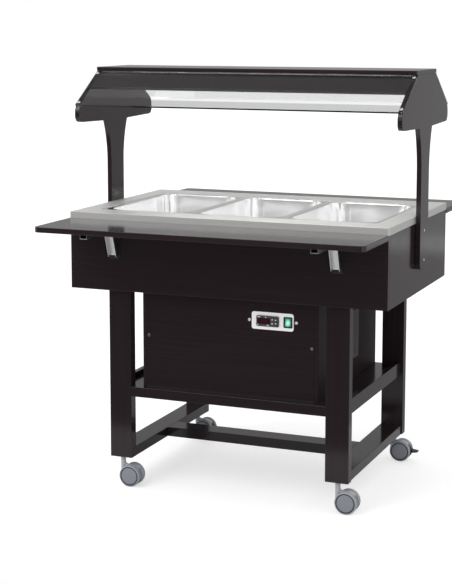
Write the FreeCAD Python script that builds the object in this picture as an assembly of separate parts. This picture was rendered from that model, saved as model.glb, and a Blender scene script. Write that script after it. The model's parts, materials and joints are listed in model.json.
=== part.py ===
import FreeCAD, Part
import math
import os

# Refrigerated serving cart: a cold well for three full-size food pans under a glass canopy.
# Millimetres. X runs along the cart, Y from the front to the back, Z up from the floor.

V = FreeCAD.Vector

# Deck and box of the cold well
DECK_W = 1120.0
DECK_D = 730.0
DECK_Z = 946.0
SHEET = 1.5
SKIRT_H = 24.0
APRON_T = 20.0
APRON_Z = 684.0
BASE_T = 18.0
BASE_UP = 18.0

# Food pans and the recess that they hang in
RIM_X = 65.0
RIM_Y = 97.0
PAN_DEEP = 100.0
PAN_SHEET = 1.2
PAN_LIP = 12.0
PAN_DRAFT = 6.0
PAN_CORNER_R = 64.0
PAN_FLOOR_R = 18.0
PAN_FLOOR_STEPS = 3
PAN_RIM_R = 16.0
PAN_PLAY = 3.0
RECESS_DEEP = 3.0
BAR_W = 22.0
BAR_H = 12.0
LINER_DEEP = 146.0
LINER_GAP = 9.0
DRAIN_R = 16.0
DRAIN_FROM_END = 59.0
DRAIN_FROM_BACK = 62.0
COIL_R = 4.0
COIL_RUNS = 4
COIL_PITCH = 100.0
COIL_FROM_END = 89.0
COIL_BEND = 30.0
COIL_ROOM = 2.0
PIPE_DROP = 40.0

# Leg frames, shelf and stretcher
BOARD_T = 34.0
LEG_W = 80.0
LEG_FROM_END = 170.5
LEG_SET = 5.5
CASTER_H = 100.0
SHELF_Z = 317.0
SIDE_RAIL_H = 50.0
SIDE_RAIL_T = 20.0
SIDE_RAIL_INSET = 12.0
STRETCHER_W = 80.0
FOOT_RAIL_SET = 4.0

# Machine cabinet on the shelf
CAB_LEG_GAP = 34.0
CAB_FRONT_SET = 31.5
CAB_BACK_SET = 8.5
CAB_T = 12.0
VENT_Y = (-140.0, 116.0)
VENT_Z = (424.0, 592.0)
VENT_LAP = 8.0
VENT_SHEET = 1.5
VENT_HOLE_R = 4.5
VENT_COLUMNS = 11
VENT_ROWS = 8
VENT_PITCH = 20.0

# Control plate with thermostat and rocker
PLATE_W = 146.0
PLATE_H = 58.0
PLATE_T = 3.0
PLATE_FROM_END = 158.0
PLATE_Z = 612.0
PLATE_R = 8.0
THERMO_W = 78.0
THERMO_H = 35.0
THERMO_T = 5.0
THERMO_DX = -16.0
THERMO_BODY_D = 50.0
THERMO_LIP = 3.5
WINDOW_W = 44.0
WINDOW_H = 20.0
WINDOW_T = 1.5
WINDOW_DX = -13.0
KEY_W = 8.0
KEY_H = 7.0
KEY_OUT = 1.2
KEY_TRAVEL = 0.8
KEY_DEEP = 3.0
KEY_GAP = 0.3
KEY_DX = (17.0, 29.0)
KEY_DZ = (6.5, -6.5)
SWITCH_W = 30.0
SWITCH_H = 36.0
SWITCH_LIP_T = 2.5
SWITCH_DX = 54.0
SWITCH_BODY_D = 24.0
SWITCH_RIM = 3.5
ROCKER_GAP = 0.4
ROCKER_OUT = 3.0
ROCKER_TILT = 8.0
ROCKER_ARC = 26.0
ROCKER_DIP = 2.0
ROCKER_BACK = 4.0
ROCKER_PIN_R = 1.5
SWITCH_WALL = 1.5
SWITCH_LIP_R = 3.0
SWITCH_CELL = 10.0
THERMO_R = 4.0
KEY_R = 1.5
WINDOW_R = 2.0

# Cooling machine inside the cabinet
COMP_FROM_END = 184.0
COMP_Y = 0.0
COMP_R = 78.0
COMP_H = 150.0
COMP_FOOT_H = 22.0
COMP_DOME_H = 40.0
COMP_DOME_IN = 34.0
COMP_DOME_WAIST = 12.0
COMP_SEAM_OUT = 3.0
COMP_SEAM_H = 4.0
COMP_SEAM_UP = 82.0
COMP_PLATE_T = 4.0
COMP_PLATE_D = 110.0
COMP_FOOT_R = 10.0
COMP_FOOT_DX = 66.0
COMP_FOOT_DY = 43.0
COND_FROM_END = 82.0
COND_T = 44.0
COND_W = 256.0
COND_H = 216.0
COND_LIFT = 32.0
COND_FINS = 13
COND_FIN_T = 2.0
COND_TUBE_H = 6.0
COND_TUBE_D = 30.0
COND_TUBES = 5
SHROUD_T = 3.0
SHROUD_GAP = 16.0
FAN_R = 88.0
FAN_TIP_GAP = 6.0
FAN_HUB_R = 26.0
FAN_HUB_L = 24.0
FAN_BLADES = 5
FAN_BLADE_T = 2.5
FAN_BLADE_W = 46.0
FAN_PITCH = 30.0
FAN_SHAFT_R = 4.0
RUN_FIT = 0.05
MOTOR_R = 36.0
MOTOR_L = 56.0
MOTOR_GAP = 8.0
STRAP_W = 14.0
INLET_FROM_END = 114.0
INLET_Z = 420.0
INLET_W = 28.0
INLET_H = 20.0
INLET_WALL = 2.0
INLET_FLANGE_W = 48.0
INLET_FLANGE_H = 26.0
INLET_FLANGE_T = 3.0
INLET_FLANGE_R = 4.0
BLADE_W = 2.0
BLADE_H = 4.0
BLADE_DX = 7.0
BLADE_DZ = 2.0

# Canopy
GABLE_T = 16.0
GABLE_BOTTOM = 765.0
GABLE_R = 26.0
POST_HALF = 49.0
POST_BEND_Z = 1090.0
NECK_HALF = 80.0
NECK_Z = 1238.0
NECK_R = 8.0
LOBE_HALF = 290.0
LOBE_Z = 1243.0
LOBE_TOP_Z = 1294.0
LOBE_TOP_R = 34.0
LOBE_LOW_R = 24.0
HEAD_HALF = 108.0
CANOPY_Z = 1427.0
CANOPY_T = 14.0
CANOPY_D = 250.0
CANOPY_R = 3.0
GLASS_T = 6.0
GLASS_GAP = 1.0
GLASS_END = 7.0
VALANCE_T = 10.0
VALANCE_LONG = 92.0
VALANCE_GAP = 0.5
LAMP_FROM_END = 80.0
LAMP_W = 60.0
LAMP_H = 26.0
LAMP_R = 13.0
LAMP_DROP = 18.0
LAMP_SOCKET = 16.0
LAMP_SOCKET_WALL = 3.0

# Fold-down trays and their brackets
TRAY_D = 252.0
TRAY_T = 18.0
TRAY_Z = 925.0
TRAY_GAP = 1.5
TRAY_R = 20.0
BRACKET_FROM_END = 168.0
PLATE_BR_T = 3.0
PLATE_BR_W = 36.0
PLATE_BR_H = 112.0
PLATE_BR_DROP = 2.0
HINGE_OUT = 17.5
HINGE_DROP = 10.0
HINGE_PIN_R = 3.0
HINGE_PIN_END = 0.5
LUG_W = 18.0
LUG_R = 5.5
ARM_W = 25.0
ARM_H = 18.0
ARM_T = 2.0
ARM_LONG = 205.0
ARM_NOSE = 8.0
ARM_NOSE_R = 7.0
ARM_END_R = 3.0
ARM_WEB_FROM = 8.0
STRUT_W = 30.0
STRUT_T = 1.7
STRUT_LONG = 97.0
STRUT_LEAN = 19.0
STRUT_PIN_R = 3.0
STRUT_PIN_DROP = 12.0
STRUT_WEB_OFF = 9.2
STRUT_LIP = 7.0
STRUT_TOP_R = 6.0
STRUT_END_R = 3.0
STRUT_WEB_FROM = 13.0
STRUT_FOOT_GAP = 0.5

# Twin-wheel casters, trailing towards +X
WHEEL_R = 37.5
WHEEL_GAP = 0.5
WHEEL_OUT = 27.0
WHEEL_SHOULDER = 5.0
WHEEL_RING_R = 29.5
WHEEL_RING_W = 2.5
WHEEL_RING_DEEP = 1.5
AXLE_R = 4.0
AXLE_END = 3.5
TRAIL = 33.0
HOOD_HALF = 8.0
HOOD_R = 35.5
HOOD_LOW = 13.0
NECK_PIPE_R = 8.5
STEM_R = 5.0
STEM_UP = 26.0
STEM_DOWN = 36.0
COLLAR_H = 4.0
COLLAR_GAP = 0.3
PEDAL_PIN_R = 2.0
PEDAL_PIN_X = 17.0
PEDAL_TONGUE = 4.6
PEDAL_SLOT = 5.0
PEDAL_FROM_R = 24.0
PEDAL_TIP = 63.0
PEDAL_TIP_HALF = 13.0
PEDAL_PLAY = 2.0
PEDAL_CUT = 6.0
PEDAL_HALF_H = 16.0
PEDAL_NECK_T = 23.0
PEDAL_WEDGE_T = 8.0
PEDAL_TIP_T = 2.5
PEDAL_EDGE_R = 2.0
PEDAL_TIP_R = 5.0
PEDAL_TONGUE_H = 10.0
PEDAL_TONGUE_R = 4.0
PEDAL_SLOT_H = 29.0
HOOD_TAIL_UP = 24.0
GUSSET_R = 10.0
GUSSET_DROP = 6.0

# Fasteners
SCREW_R = 2.0
SCREW_HEAD_R = 5.0
SCREW_HEAD_T = 2.0
GABLE_SCREWS_Z = (795.0, 894.0)
PANEL_SCREW_FROM_END = 22.0
PANEL_SCREW_Z = 530.0
PLATE_SCREW_DX = 82.0
STUD_HEAD_R = 6.0
STUD_HEAD_T = 3.0
STUD_END = 14.0
STUD_LONG = 24.0
PANEL_SCREW_LONG = 12.0
GABLE_SCREW_LONG = 30.0

# Places worked out from the sizes above
HALF_W = DECK_W / 2
HALF_D = DECK_D / 2
BOX_X = HALF_W - SHEET
BOX_Y = HALF_D - SHEET
BASE_Z = APRON_Z + BASE_UP
UNDER_DECK = DECK_Z - SHEET
RECESS_X = HALF_W - RIM_X
RECESS_Y = HALF_D - RIM_Y
PAN_PITCH = (RECESS_X - PAN_PLAY) / 1.5
PAN_HALF_W = (PAN_PITCH - PAN_PLAY) / 2
PAN_HALF_D = RECESS_Y - PAN_PLAY
PAN_XS = {"left": -PAN_PITCH, "middle": 0.0, "right": PAN_PITCH}
OPENING_X = 1.5 * PAN_PITCH - PAN_LIP
OPENING_Y = PAN_HALF_D - PAN_LIP
SEAT_Z = DECK_Z - RECESS_DEEP
LEDGE_LOW = SEAT_Z - SHEET
LINER_X = OPENING_X + LINER_GAP
LINER_Y = OPENING_Y + LINER_GAP
LINER_FLOOR = LEDGE_LOW - LINER_DEEP
COIL_Z = LINER_FLOOR - SHEET - COIL_R
COIL_REACH = LINER_X - COIL_FROM_END
DRAIN_X = DRAIN_FROM_END - LINER_X
DRAIN_Y = LINER_Y - DRAIN_FROM_BACK
LEG_X = BOX_X - LEG_FROM_END
LEG_Y = BOX_Y - APRON_T - LEG_SET - BOARD_T / 2
LEG_OUT = LEG_X + LEG_W / 2
LEG_IN = LEG_X - LEG_W / 2
LEG_FACE = LEG_Y + BOARD_T / 2
LEG_BACK = LEG_Y - BOARD_T / 2
FOOT_RAIL_TOP = CASTER_H + BOARD_T
SHELF_TOP = SHELF_Z + BOARD_T
SIDE_RAIL_OUT = LEG_OUT - SIDE_RAIL_INSET
GABLE_IN = HALF_W
GABLE_OUT = HALF_W + GABLE_T
CANOPY_LOW = CANOPY_Z - CANOPY_T
SLOPE = math.atan((CANOPY_LOW - LOBE_TOP_Z) / (LOBE_HALF - HEAD_HALF))
GLASS_FROM = GLASS_T / math.tan(SLOPE) + GLASS_GAP
GLASS_LAST = math.hypot(CANOPY_LOW - LOBE_TOP_Z, LOBE_HALF - HEAD_HALF) - GLASS_END
CAB_HALF_W = LEG_IN - CAB_LEG_GAP
CAB_FRONT = CAB_FRONT_SET + APRON_T - BOX_Y
CAB_BACK = BOX_Y - APRON_T - CAB_BACK_SET
CAB_FACE = CAB_FRONT - PLATE_T
PLATE_X = CAB_HALF_W - PLATE_FROM_END
PANEL_SCREW_X = CAB_HALF_W - PANEL_SCREW_FROM_END
COMP_X = COMP_FROM_END - CAB_HALF_W
COND_X = CAB_HALF_W - COND_FROM_END
INLET_X = INLET_FROM_END - CAB_HALF_W
LAMP_HALF = HALF_W - LAMP_FROM_END
BRACKET_X = HALF_W - BRACKET_FROM_END
THERMO_X = PLATE_X + THERMO_DX
THERMO_FACE = CAB_FACE - THERMO_T
SWITCH_X = PLATE_X + SWITCH_DX
SWITCH_FACE = CAB_FACE - SWITCH_LIP_T
COND_Y = (VENT_Y[0] + VENT_Y[1]) / 2
COND_LOW = SHELF_TOP + COND_LIFT
FAN_Z = COND_LOW + COND_H / 2
SHROUD_X = COND_X - COND_T / 2 - SHROUD_GAP - SHROUD_T
TRAY_IN = HALF_D + TRAY_GAP
TRAY_LOW = TRAY_Z - TRAY_T
PLATE_FACE = BOX_Y + PLATE_BR_T
HINGE_Y = PLATE_FACE + HINGE_OUT
HINGE_Z = TRAY_LOW - HINGE_DROP
STRUT_PIN_Z = TRAY_LOW - STRUT_PIN_DROP
LEAN = math.radians(STRUT_LEAN)
STRUT_PIN_Y = (PLATE_FACE + STRUT_FOOT_GAP + (STRUT_WEB_OFF + STRUT_T) * math.cos(LEAN)
               + STRUT_LONG * math.sin(LEAN))
WHEEL_IN = NECK_PIPE_R + WHEEL_GAP
CASTERS = {
    "front_left": (-LEG_X, -LEG_Y),
    "front_right": (LEG_X, -LEG_Y),
    "rear_left": (-LEG_X, LEG_Y),
    "rear_right": (LEG_X, LEG_Y),
}


def box(x0, x1, y0, y1, z0, z1):
    return Part.makeBox(x1 - x0, y1 - y0, z1 - z0, V(x0, y0, z0))


def bar(start, end, radius):
    """Round bar between two points."""
    way = V(*end) - V(*start)
    return Part.makeCylinder(radius, way.Length, V(*start), way)


def fused(shapes):
    return shapes[0].multiFuse(shapes[1:]).removeSplitter()


def cut(shape, tools):
    for tool in tools:
        shape = shape.cut(tool)
    return shape


def mirrored(shape, normal):
    return shape.mirror(V(0, 0, 0), normal)


def outline(corners, put):
    """Closed wire through corners (u, v, radius), with an arc at each corner that has a radius."""
    count = len(corners)
    turns = []
    for index, (u, v, radius) in enumerate(corners):
        here = V(u, v, 0)
        back = V(*corners[index - 1][:2], 0) - here
        ahead = V(*corners[(index + 1) % count][:2], 0) - here
        back.normalize()
        ahead.normalize()
        half = back.getAngle(ahead) / 2
        reach = radius / math.tan(half)
        middle = here
        if radius:
            inward = (back + ahead).normalize()
            middle = here + inward * (radius / math.sin(half) - radius)
        turns.append((here + back * reach, middle, here + ahead * reach, radius))
    edges = []
    for index, (start, middle, end, radius) in enumerate(turns):
        if radius:
            edges.append(Part.Arc(put(start), put(middle), put(end)).toShape())
        following = turns[(index + 1) % count][0]
        if end.distanceToPoint(following) > 1e-6:
            edges.append(Part.makeLine(put(end), put(following)))
    return Part.Wire(edges)


def prism(corners, axis, low, high):
    """Solid of one outline between two planes across an axis; corners use the other two axes in order."""
    puts = {
        "X": lambda p: V(low, p.x, p.y),
        "Y": lambda p: V(p.x, low, p.y),
        "Z": lambda p: V(p.x, p.y, low),
    }
    ways = {"X": V(high - low, 0, 0), "Y": V(0, high - low, 0), "Z": V(0, 0, high - low)}
    return Part.Face(outline(corners, puts[axis])).extrude(ways[axis])


def rectangle(half_u, half_v, radius, u=0.0, v=0.0):
    return [
        (u - half_u, v - half_v, radius),
        (u + half_u, v - half_v, radius),
        (u + half_u, v + half_v, radius),
        (u - half_u, v + half_v, radius),
    ]


def bent_tube(points, bend, radius):
    """Tube along straight runs that are joined by bends, each turned about its own centre."""
    pieces = []
    start = V(*points[0])
    for before, here, after in zip(points, points[1:], points[2:]):
        corner = V(*here)
        back = (V(*before) - corner).normalize()
        ahead = (V(*after) - corner).normalize()
        turn = math.pi - back.getAngle(ahead)
        reach = bend * math.tan(turn / 2)
        enter = corner + back * reach
        if start.distanceToPoint(enter) > COIL_ROOM:
            pieces.append(bar(start, enter, radius))
        middle = corner + (back + ahead).normalize() * (bend / math.cos(turn / 2))
        disc = Part.Face(Part.Wire(Part.makeCircle(radius, enter, back)))
        pieces.append(disc.revolve(middle, ahead.cross(back), math.degrees(turn)))
        start = corner + ahead * reach
    pieces.append(bar(start, points[-1], radius))
    return fused(pieces)


def turned(points, centre, axis):
    """Solid turned about an axis from a closed profile of points that already lie in space."""
    face = Part.Face(Part.makePolygon([V(*p) for p in points] + [V(*points[0])]))
    return face.revolve(V(*centre), V(*axis), 360)


# Deck, well and box

def top_deck():
    """Deck welded from sheet: a flat top, four skirts, the ledge tub that carries the pans, and two bars."""
    low = DECK_Z - SKIRT_H
    hollow = prism(rectangle(RECESS_X, RECESS_Y, PAN_RIM_R), "Z", SEAT_Z, DECK_Z)
    opening = prism(rectangle(OPENING_X, OPENING_Y, PAN_CORNER_R), "Z", LEDGE_LOW, DECK_Z)
    tub = prism(rectangle(RECESS_X + SHEET, RECESS_Y + SHEET, PAN_RIM_R + SHEET), "Z", LEDGE_LOW, UNDER_DECK)
    sheets = [
        box(-HALF_W, HALF_W, -HALF_D, HALF_D, UNDER_DECK, DECK_Z).cut(hollow),
        cut(tub, [hollow, opening]),
    ]
    for side in (-1, 1):
        x0, x1 = sorted((side * BOX_X, side * HALF_W))
        y0, y1 = sorted((side * BOX_Y, side * HALF_D))
        sheets.append(box(-HALF_W, HALF_W, y0, y1, low, UNDER_DECK))
        sheets.append(box(x0, x1, -BOX_Y, BOX_Y, low, UNDER_DECK))
        bar_x = side * PAN_PITCH / 2
        sheets.append(box(bar_x - BAR_W / 2, bar_x + BAR_W / 2, -OPENING_Y, OPENING_Y, SEAT_Z - BAR_H, SEAT_Z))
    return Part.makeCompound(sheets)


def well_liner():
    """Tank welded from flat sheets: a floor with its drain, four walls and a lip frame under the deck's ledge."""
    out_x = LINER_X + SHEET
    out_y = LINER_Y + SHEET
    low = LINER_FLOOR - SHEET
    under_lip = LEDGE_LOW - SHEET
    spout = bar((DRAIN_X, DRAIN_Y, APRON_Z), (DRAIN_X, DRAIN_Y, low), DRAIN_R)
    bore = bar((DRAIN_X, DRAIN_Y, APRON_Z), (DRAIN_X, DRAIN_Y, LINER_FLOOR), DRAIN_R - SHEET)
    frame = prism(rectangle(RECESS_X + SHEET, RECESS_Y + SHEET, PAN_RIM_R + SHEET), "Z", under_lip, LEDGE_LOW)
    sheets = [
        box(-out_x, out_x, -out_y, out_y, low, LINER_FLOOR).cut(bore),
        spout.cut(bore),
        frame.cut(box(-LINER_X, LINER_X, -LINER_Y, LINER_Y, under_lip, LEDGE_LOW)),
    ]
    for side in (-1, 1):
        x0, x1 = sorted((side * LINER_X, side * out_x))
        y0, y1 = sorted((side * LINER_Y, side * out_y))
        sheets.append(box(x0, x1, -out_y, out_y, LINER_FLOOR, under_lip))
        sheets.append(box(-LINER_X, LINER_X, y0, y1, LINER_FLOOR, under_lip))
    return Part.makeCompound(sheets)


def coil_points():
    """Corners of the serpentine under the liner, with both ends led down to the machine."""
    first = -COIL_PITCH * (COIL_RUNS - 1) / 2
    pipe_z = BASE_Z - PIPE_DROP
    points = [
        (COMP_X, COMP_Y, SHELF_TOP + COMP_FOOT_H + COMP_H),
        (COMP_X, COMP_Y, pipe_z),
        (COMP_X, first, pipe_z),
        (COMP_X, first, COIL_Z),
    ]
    side = 1
    for run in range(COIL_RUNS):
        y = first + COIL_PITCH * run
        if run:
            points.append((-side * COIL_REACH, y, COIL_Z))
        points.append((side * COIL_REACH, y, COIL_Z))
        side = -side
    points[-1] = (COND_X, -first, COIL_Z)
    points.append((COND_X, -first, pipe_z))
    points.append((COND_X, COND_Y, pipe_z))
    points.append((COND_X, COND_Y, COND_LOW + COND_H + SHROUD_T))
    return points


def cooling_coil():
    return bent_tube(coil_points(), COIL_BEND, COIL_R)


def coil_slots(low, high):
    """Room for the two pipes and their bends where they drop through a layer."""
    first = -COIL_PITCH * (COIL_RUNS - 1) / 2
    reach = COIL_R + COIL_ROOM
    slots = []
    last_lean = 1 if COIL_RUNS % 2 == 0 else -1
    for x, y, lean in ((COMP_X, first, 1), (COND_X, -first, last_lean)):
        x0, x1 = sorted((x - lean * reach, x + lean * (COIL_BEND + reach)))
        slots.append(box(x0, x1, y - reach, y + reach, low, high))
    return slots


def insulation():
    top = LEDGE_LOW - SHEET
    block = box(-BOX_X + APRON_T, BOX_X - APRON_T, -BOX_Y + APRON_T, BOX_Y - APRON_T, BASE_Z + BASE_T, top)
    low = LINER_FLOOR - SHEET
    well = box(-LINER_X - SHEET, LINER_X + SHEET, -LINER_Y - SHEET, LINER_Y + SHEET, low, top)
    bed_x = COIL_REACH + COIL_R + COIL_ROOM
    bed_y = COIL_PITCH * (COIL_RUNS - 1) / 2 + COIL_R + COIL_ROOM
    bed = box(-bed_x, bed_x, -bed_y, bed_y, COIL_Z - COIL_R, low)
    drain = bar((DRAIN_X, DRAIN_Y, BASE_Z), (DRAIN_X, DRAIN_Y, low), DRAIN_R)
    return cut(block, [well, bed, drain] + coil_slots(BASE_Z, low))


def base_panel():
    panel = box(-BOX_X + APRON_T, BOX_X - APRON_T, -BOX_Y + APRON_T, BOX_Y - APRON_T, BASE_Z, BASE_Z + BASE_T)
    drain = bar((DRAIN_X, DRAIN_Y, BASE_Z), (DRAIN_X, DRAIN_Y, BASE_Z + BASE_T), DRAIN_R)
    return cut(panel, [drain] + coil_slots(BASE_Z, BASE_Z + BASE_T))


def long_apron(side):
    y0, y1 = sorted((side * BOX_Y, side * (BOX_Y - APRON_T)))
    return box(-BOX_X, BOX_X, y0, y1, APRON_Z, UNDER_DECK)


def short_apron(side):
    x0, x1 = sorted((side * BOX_X, side * (BOX_X - APRON_T)))
    return box(x0, x1, -BOX_Y + APRON_T, BOX_Y - APRON_T, APRON_Z, UNDER_DECK)


def food_pan(x):
    """Drawn pan: a flat rim and a tapered body whose floor edge is rounded."""
    top = SEAT_Z + PAN_SHEET
    half_u = PAN_PITCH / 2 - BAR_W / 2 - PAN_PLAY
    half_v = OPENING_Y - PAN_PLAY

    def body(wall, high, low):
        sections = []
        for step in range(PAN_FLOOR_STEPS + 1):
            turn = math.radians(90 * step / PAN_FLOOR_STEPS)
            drawn = PAN_FLOOR_R * (1 - math.cos(turn)) + PAN_DRAFT + wall
            level = low + PAN_FLOOR_R * (1 - math.sin(turn))
            ring = rectangle(half_u - drawn, half_v - drawn, PAN_CORNER_R - wall, x)
            sections.append(outline(ring, lambda p, z=level: V(p.x, p.y, z)))
        mouth = rectangle(half_u - wall, half_v - wall, PAN_CORNER_R - wall, x)
        sections.insert(0, outline(mouth, lambda p: V(p.x, p.y, high)))
        return Part.makeLoft(sections, True, True)

    rim = prism(rectangle(PAN_HALF_W, PAN_HALF_D, PAN_RIM_R, x), "Z", SEAT_Z, top)
    outer = body(0.0, SEAT_Z, SEAT_Z - PAN_DEEP)
    inner = body(PAN_SHEET, top, SEAT_Z - PAN_DEEP + PAN_SHEET)
    return rim.fuse(outer).cut(inner)


# Leg frames and shelf

def leg(side_x, side_y):
    x0, x1 = sorted((side_x * LEG_IN, side_x * LEG_OUT))
    y0, y1 = sorted((side_y * LEG_BACK, side_y * LEG_FACE))
    foot = (side_x * LEG_X, side_y * LEG_Y, CASTER_H)
    socket = bar(foot, (foot[0], foot[1], CASTER_H + STEM_UP), STEM_R)
    return box(x0, x1, y0, y1, CASTER_H, BASE_Z).cut(socket)


def foot_rails():
    rails = []
    for side in (-1, 1):
        x0, x1 = sorted((side * LEG_IN, side * (LEG_OUT - FOOT_RAIL_SET)))
        rails.append(box(x0, x1, -LEG_BACK, LEG_BACK, CASTER_H, FOOT_RAIL_TOP))
    return Part.makeCompound(rails)


def stretcher():
    half = STRETCHER_W / 2
    return box(-LEG_IN, LEG_IN, -half, half, CASTER_H, FOOT_RAIL_TOP)


def shelf_board():
    between = box(-LEG_IN, LEG_IN, -LEG_FACE, LEG_FACE, SHELF_Z, SHELF_TOP)
    inner = SIDE_RAIL_OUT - SIDE_RAIL_T
    wings = box(-inner, inner, -LEG_BACK, LEG_BACK, SHELF_Z, SHELF_TOP)
    return between.fuse(wings).removeSplitter()


def shelf_side_rails():
    rails = []
    for side in (-1, 1):
        x0, x1 = sorted((side * SIDE_RAIL_OUT, side * (SIDE_RAIL_OUT - SIDE_RAIL_T)))
        rails.append(box(x0, x1, -LEG_BACK, LEG_BACK, SHELF_Z, SHELF_Z + SIDE_RAIL_H))
    return Part.makeCompound(rails)


# Machine cabinet

def thermo_body():
    half_w = THERMO_W / 2 - THERMO_LIP
    half_h = THERMO_H / 2 - THERMO_LIP
    return box(THERMO_X - half_w, THERMO_X + half_w, CAB_FACE, CAB_FACE + THERMO_BODY_D,
               PLATE_Z - half_h, PLATE_Z + half_h)


def switch_body():
    half_w = SWITCH_W / 2 - SWITCH_RIM
    half_h = SWITCH_H / 2 - SWITCH_RIM
    return box(SWITCH_X - half_w, SWITCH_X + half_w, CAB_FACE, CAB_FACE + SWITCH_BODY_D,
               PLATE_Z - half_h, PLATE_Z + half_h)


def cabinet_front():
    inside = CAB_HALF_W - CAB_T
    panel = box(-inside, inside, CAB_FRONT, CAB_FRONT + CAB_T, SHELF_TOP, BASE_Z)
    return cut(panel, [thermo_body(), switch_body()])


def cabinet_shell():
    """Left, rear and right walls in one U, with the vent's window on the right and the inlet's at the rear."""
    outer = box(-CAB_HALF_W, CAB_HALF_W, CAB_FRONT, CAB_BACK, SHELF_TOP, BASE_Z)
    inside = CAB_HALF_W - CAB_T
    hollow = box(-inside, inside, CAB_FRONT, CAB_BACK - CAB_T, SHELF_TOP, BASE_Z)
    window = box(inside, CAB_HALF_W, VENT_Y[0] + VENT_LAP, VENT_Y[1] - VENT_LAP,
                 VENT_Z[0] + VENT_LAP, VENT_Z[1] - VENT_LAP)
    return cut(outer, [hollow, window, inlet_body()])


def vent_grille():
    """Perforated sheet over the window; the six-sided holes are staggered."""
    sheet = box(CAB_HALF_W, CAB_HALF_W + VENT_SHEET, VENT_Y[0], VENT_Y[1], VENT_Z[0], VENT_Z[1])
    mid_y = (VENT_Y[0] + VENT_Y[1]) / 2
    mid_z = (VENT_Z[0] + VENT_Z[1]) / 2
    holes = []
    for row in range(VENT_ROWS):
        z = mid_z + (row - (VENT_ROWS - 1) / 2) * VENT_PITCH
        shift = VENT_PITCH / 2 * (row % 2 - 0.5)
        for column in range(VENT_COLUMNS):
            y = mid_y + shift + (column - (VENT_COLUMNS - 1) / 2) * VENT_PITCH
            hexagon = []
            for corner in range(6):
                turn = math.radians(60 * corner + 30)
                hexagon.append((y + VENT_HOLE_R * math.cos(turn), z + VENT_HOLE_R * math.sin(turn), 0.0))
            holes.append(prism(hexagon, "X", CAB_HALF_W, CAB_HALF_W + VENT_SHEET))
    return sheet.cut(Part.makeCompound(holes))


def inlet_body(wall=0.0):
    half_w = INLET_W / 2 - wall
    half_h = INLET_H / 2 - wall
    return box(INLET_X - half_w, INLET_X + half_w, CAB_BACK - CAB_T + wall, CAB_BACK,
               INLET_Z - half_h, INLET_Z + half_h)


def power_inlet():
    """Flanged appliance inlet with its three blades in an open socket."""
    out = CAB_BACK + INLET_FLANGE_T
    ring = rectangle(INLET_FLANGE_W / 2, INLET_FLANGE_H / 2, INLET_FLANGE_R, INLET_X, INLET_Z)
    body = inlet_body().fuse(prism(ring, "Y", CAB_BACK, out))
    mouth_w = INLET_W / 2 - INLET_WALL
    mouth_h = INLET_H / 2 - INLET_WALL
    mouth = box(INLET_X - mouth_w, INLET_X + mouth_w, CAB_BACK, out, INLET_Z - mouth_h, INLET_Z + mouth_h)
    blades = []
    for side in (-1, 0, 1):
        x = INLET_X + side * BLADE_DX
        z = INLET_Z + BLADE_DZ * (1 - 2 * abs(side))
        blades.append(box(x - BLADE_W / 2, x + BLADE_W / 2, CAB_BACK - CAB_T, CAB_BACK,
                          z - BLADE_H / 2, z + BLADE_H / 2))
    return fused([cut(body, [inlet_body(INLET_WALL), mouth])] + blades)


def control_plate():
    plate = prism(rectangle(PLATE_W / 2, PLATE_H / 2, PLATE_R, PLATE_X, PLATE_Z), "Y", CAB_FACE, CAB_FRONT)
    return cut(plate, [thermo_body(), switch_body()])


def key_places():
    return {
        "set": (KEY_DX[0], KEY_DZ[0]),
        "defrost": (KEY_DX[0], KEY_DZ[1]),
        "up": (KEY_DX[1], KEY_DZ[0]),
        "down": (KEY_DX[1], KEY_DZ[1]),
    }


def key_block(place, gap, out, deep):
    x = THERMO_X + place[0]
    z = PLATE_Z + place[1]
    half_w = KEY_W / 2 + gap
    half_h = KEY_H / 2 + gap
    return prism(rectangle(half_w, half_h, KEY_R + gap, x, z), "Y", THERMO_FACE - out, THERMO_FACE + deep)


def thermostat_key(name):
    return key_block(key_places()[name], 0.0, KEY_OUT, KEY_DEEP)


def window_block():
    ring = rectangle(WINDOW_W / 2, WINDOW_H / 2, WINDOW_R, THERMO_X + WINDOW_DX, PLATE_Z)
    return prism(ring, "Y", THERMO_FACE, THERMO_FACE + WINDOW_T)


def thermostat_case():
    bezel = prism(rectangle(THERMO_W / 2, THERMO_H / 2, THERMO_R, THERMO_X, PLATE_Z), "Y", THERMO_FACE, CAB_FACE)
    case = bezel.fuse(thermo_body()).removeSplitter()
    pockets = []
    for place in key_places().values():
        pockets.append(key_block(place, KEY_GAP, 0.0, KEY_DEEP + KEY_TRAVEL + KEY_GAP))
    return cut(case, [window_block()] + pockets)


def rocker_profile():
    """Side outline of the rocker about its pivot: round ends, and a face with a shallow V."""
    radius = SWITCH_H / 2 - SWITCH_RIM - ROCKER_GAP
    pivot_y = CAB_FACE + ROCKER_OUT
    arc = math.radians(ROCKER_ARC)
    face_y = pivot_y - radius * math.sin(arc)
    tall = radius * math.cos(arc)
    back_y = pivot_y + ROCKER_BACK
    back = math.sqrt(radius ** 2 - ROCKER_BACK ** 2)
    low = V(0, face_y, PLATE_Z - tall)
    high = V(0, face_y, PLATE_Z + tall)
    dip = V(0, face_y + ROCKER_DIP, PLATE_Z)
    back_high = V(0, back_y, PLATE_Z + back)
    back_low = V(0, back_y, PLATE_Z - back)
    edges = [
        Part.makeLine(low, dip),
        Part.makeLine(dip, high),
        Part.Arc(high, V(0, pivot_y, PLATE_Z + radius), back_high).toShape(),
        Part.makeLine(back_high, back_low),
        Part.Arc(back_low, V(0, pivot_y, PLATE_Z - radius), low).toShape(),
    ]
    return Part.Face(Part.Wire(edges))


def switch_cell():
    """Half width and half height of the bezel's open cell."""
    return SWITCH_W / 2 - SWITCH_RIM - SWITCH_WALL, SWITCH_H / 2 - SWITCH_RIM - RUN_FIT


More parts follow.
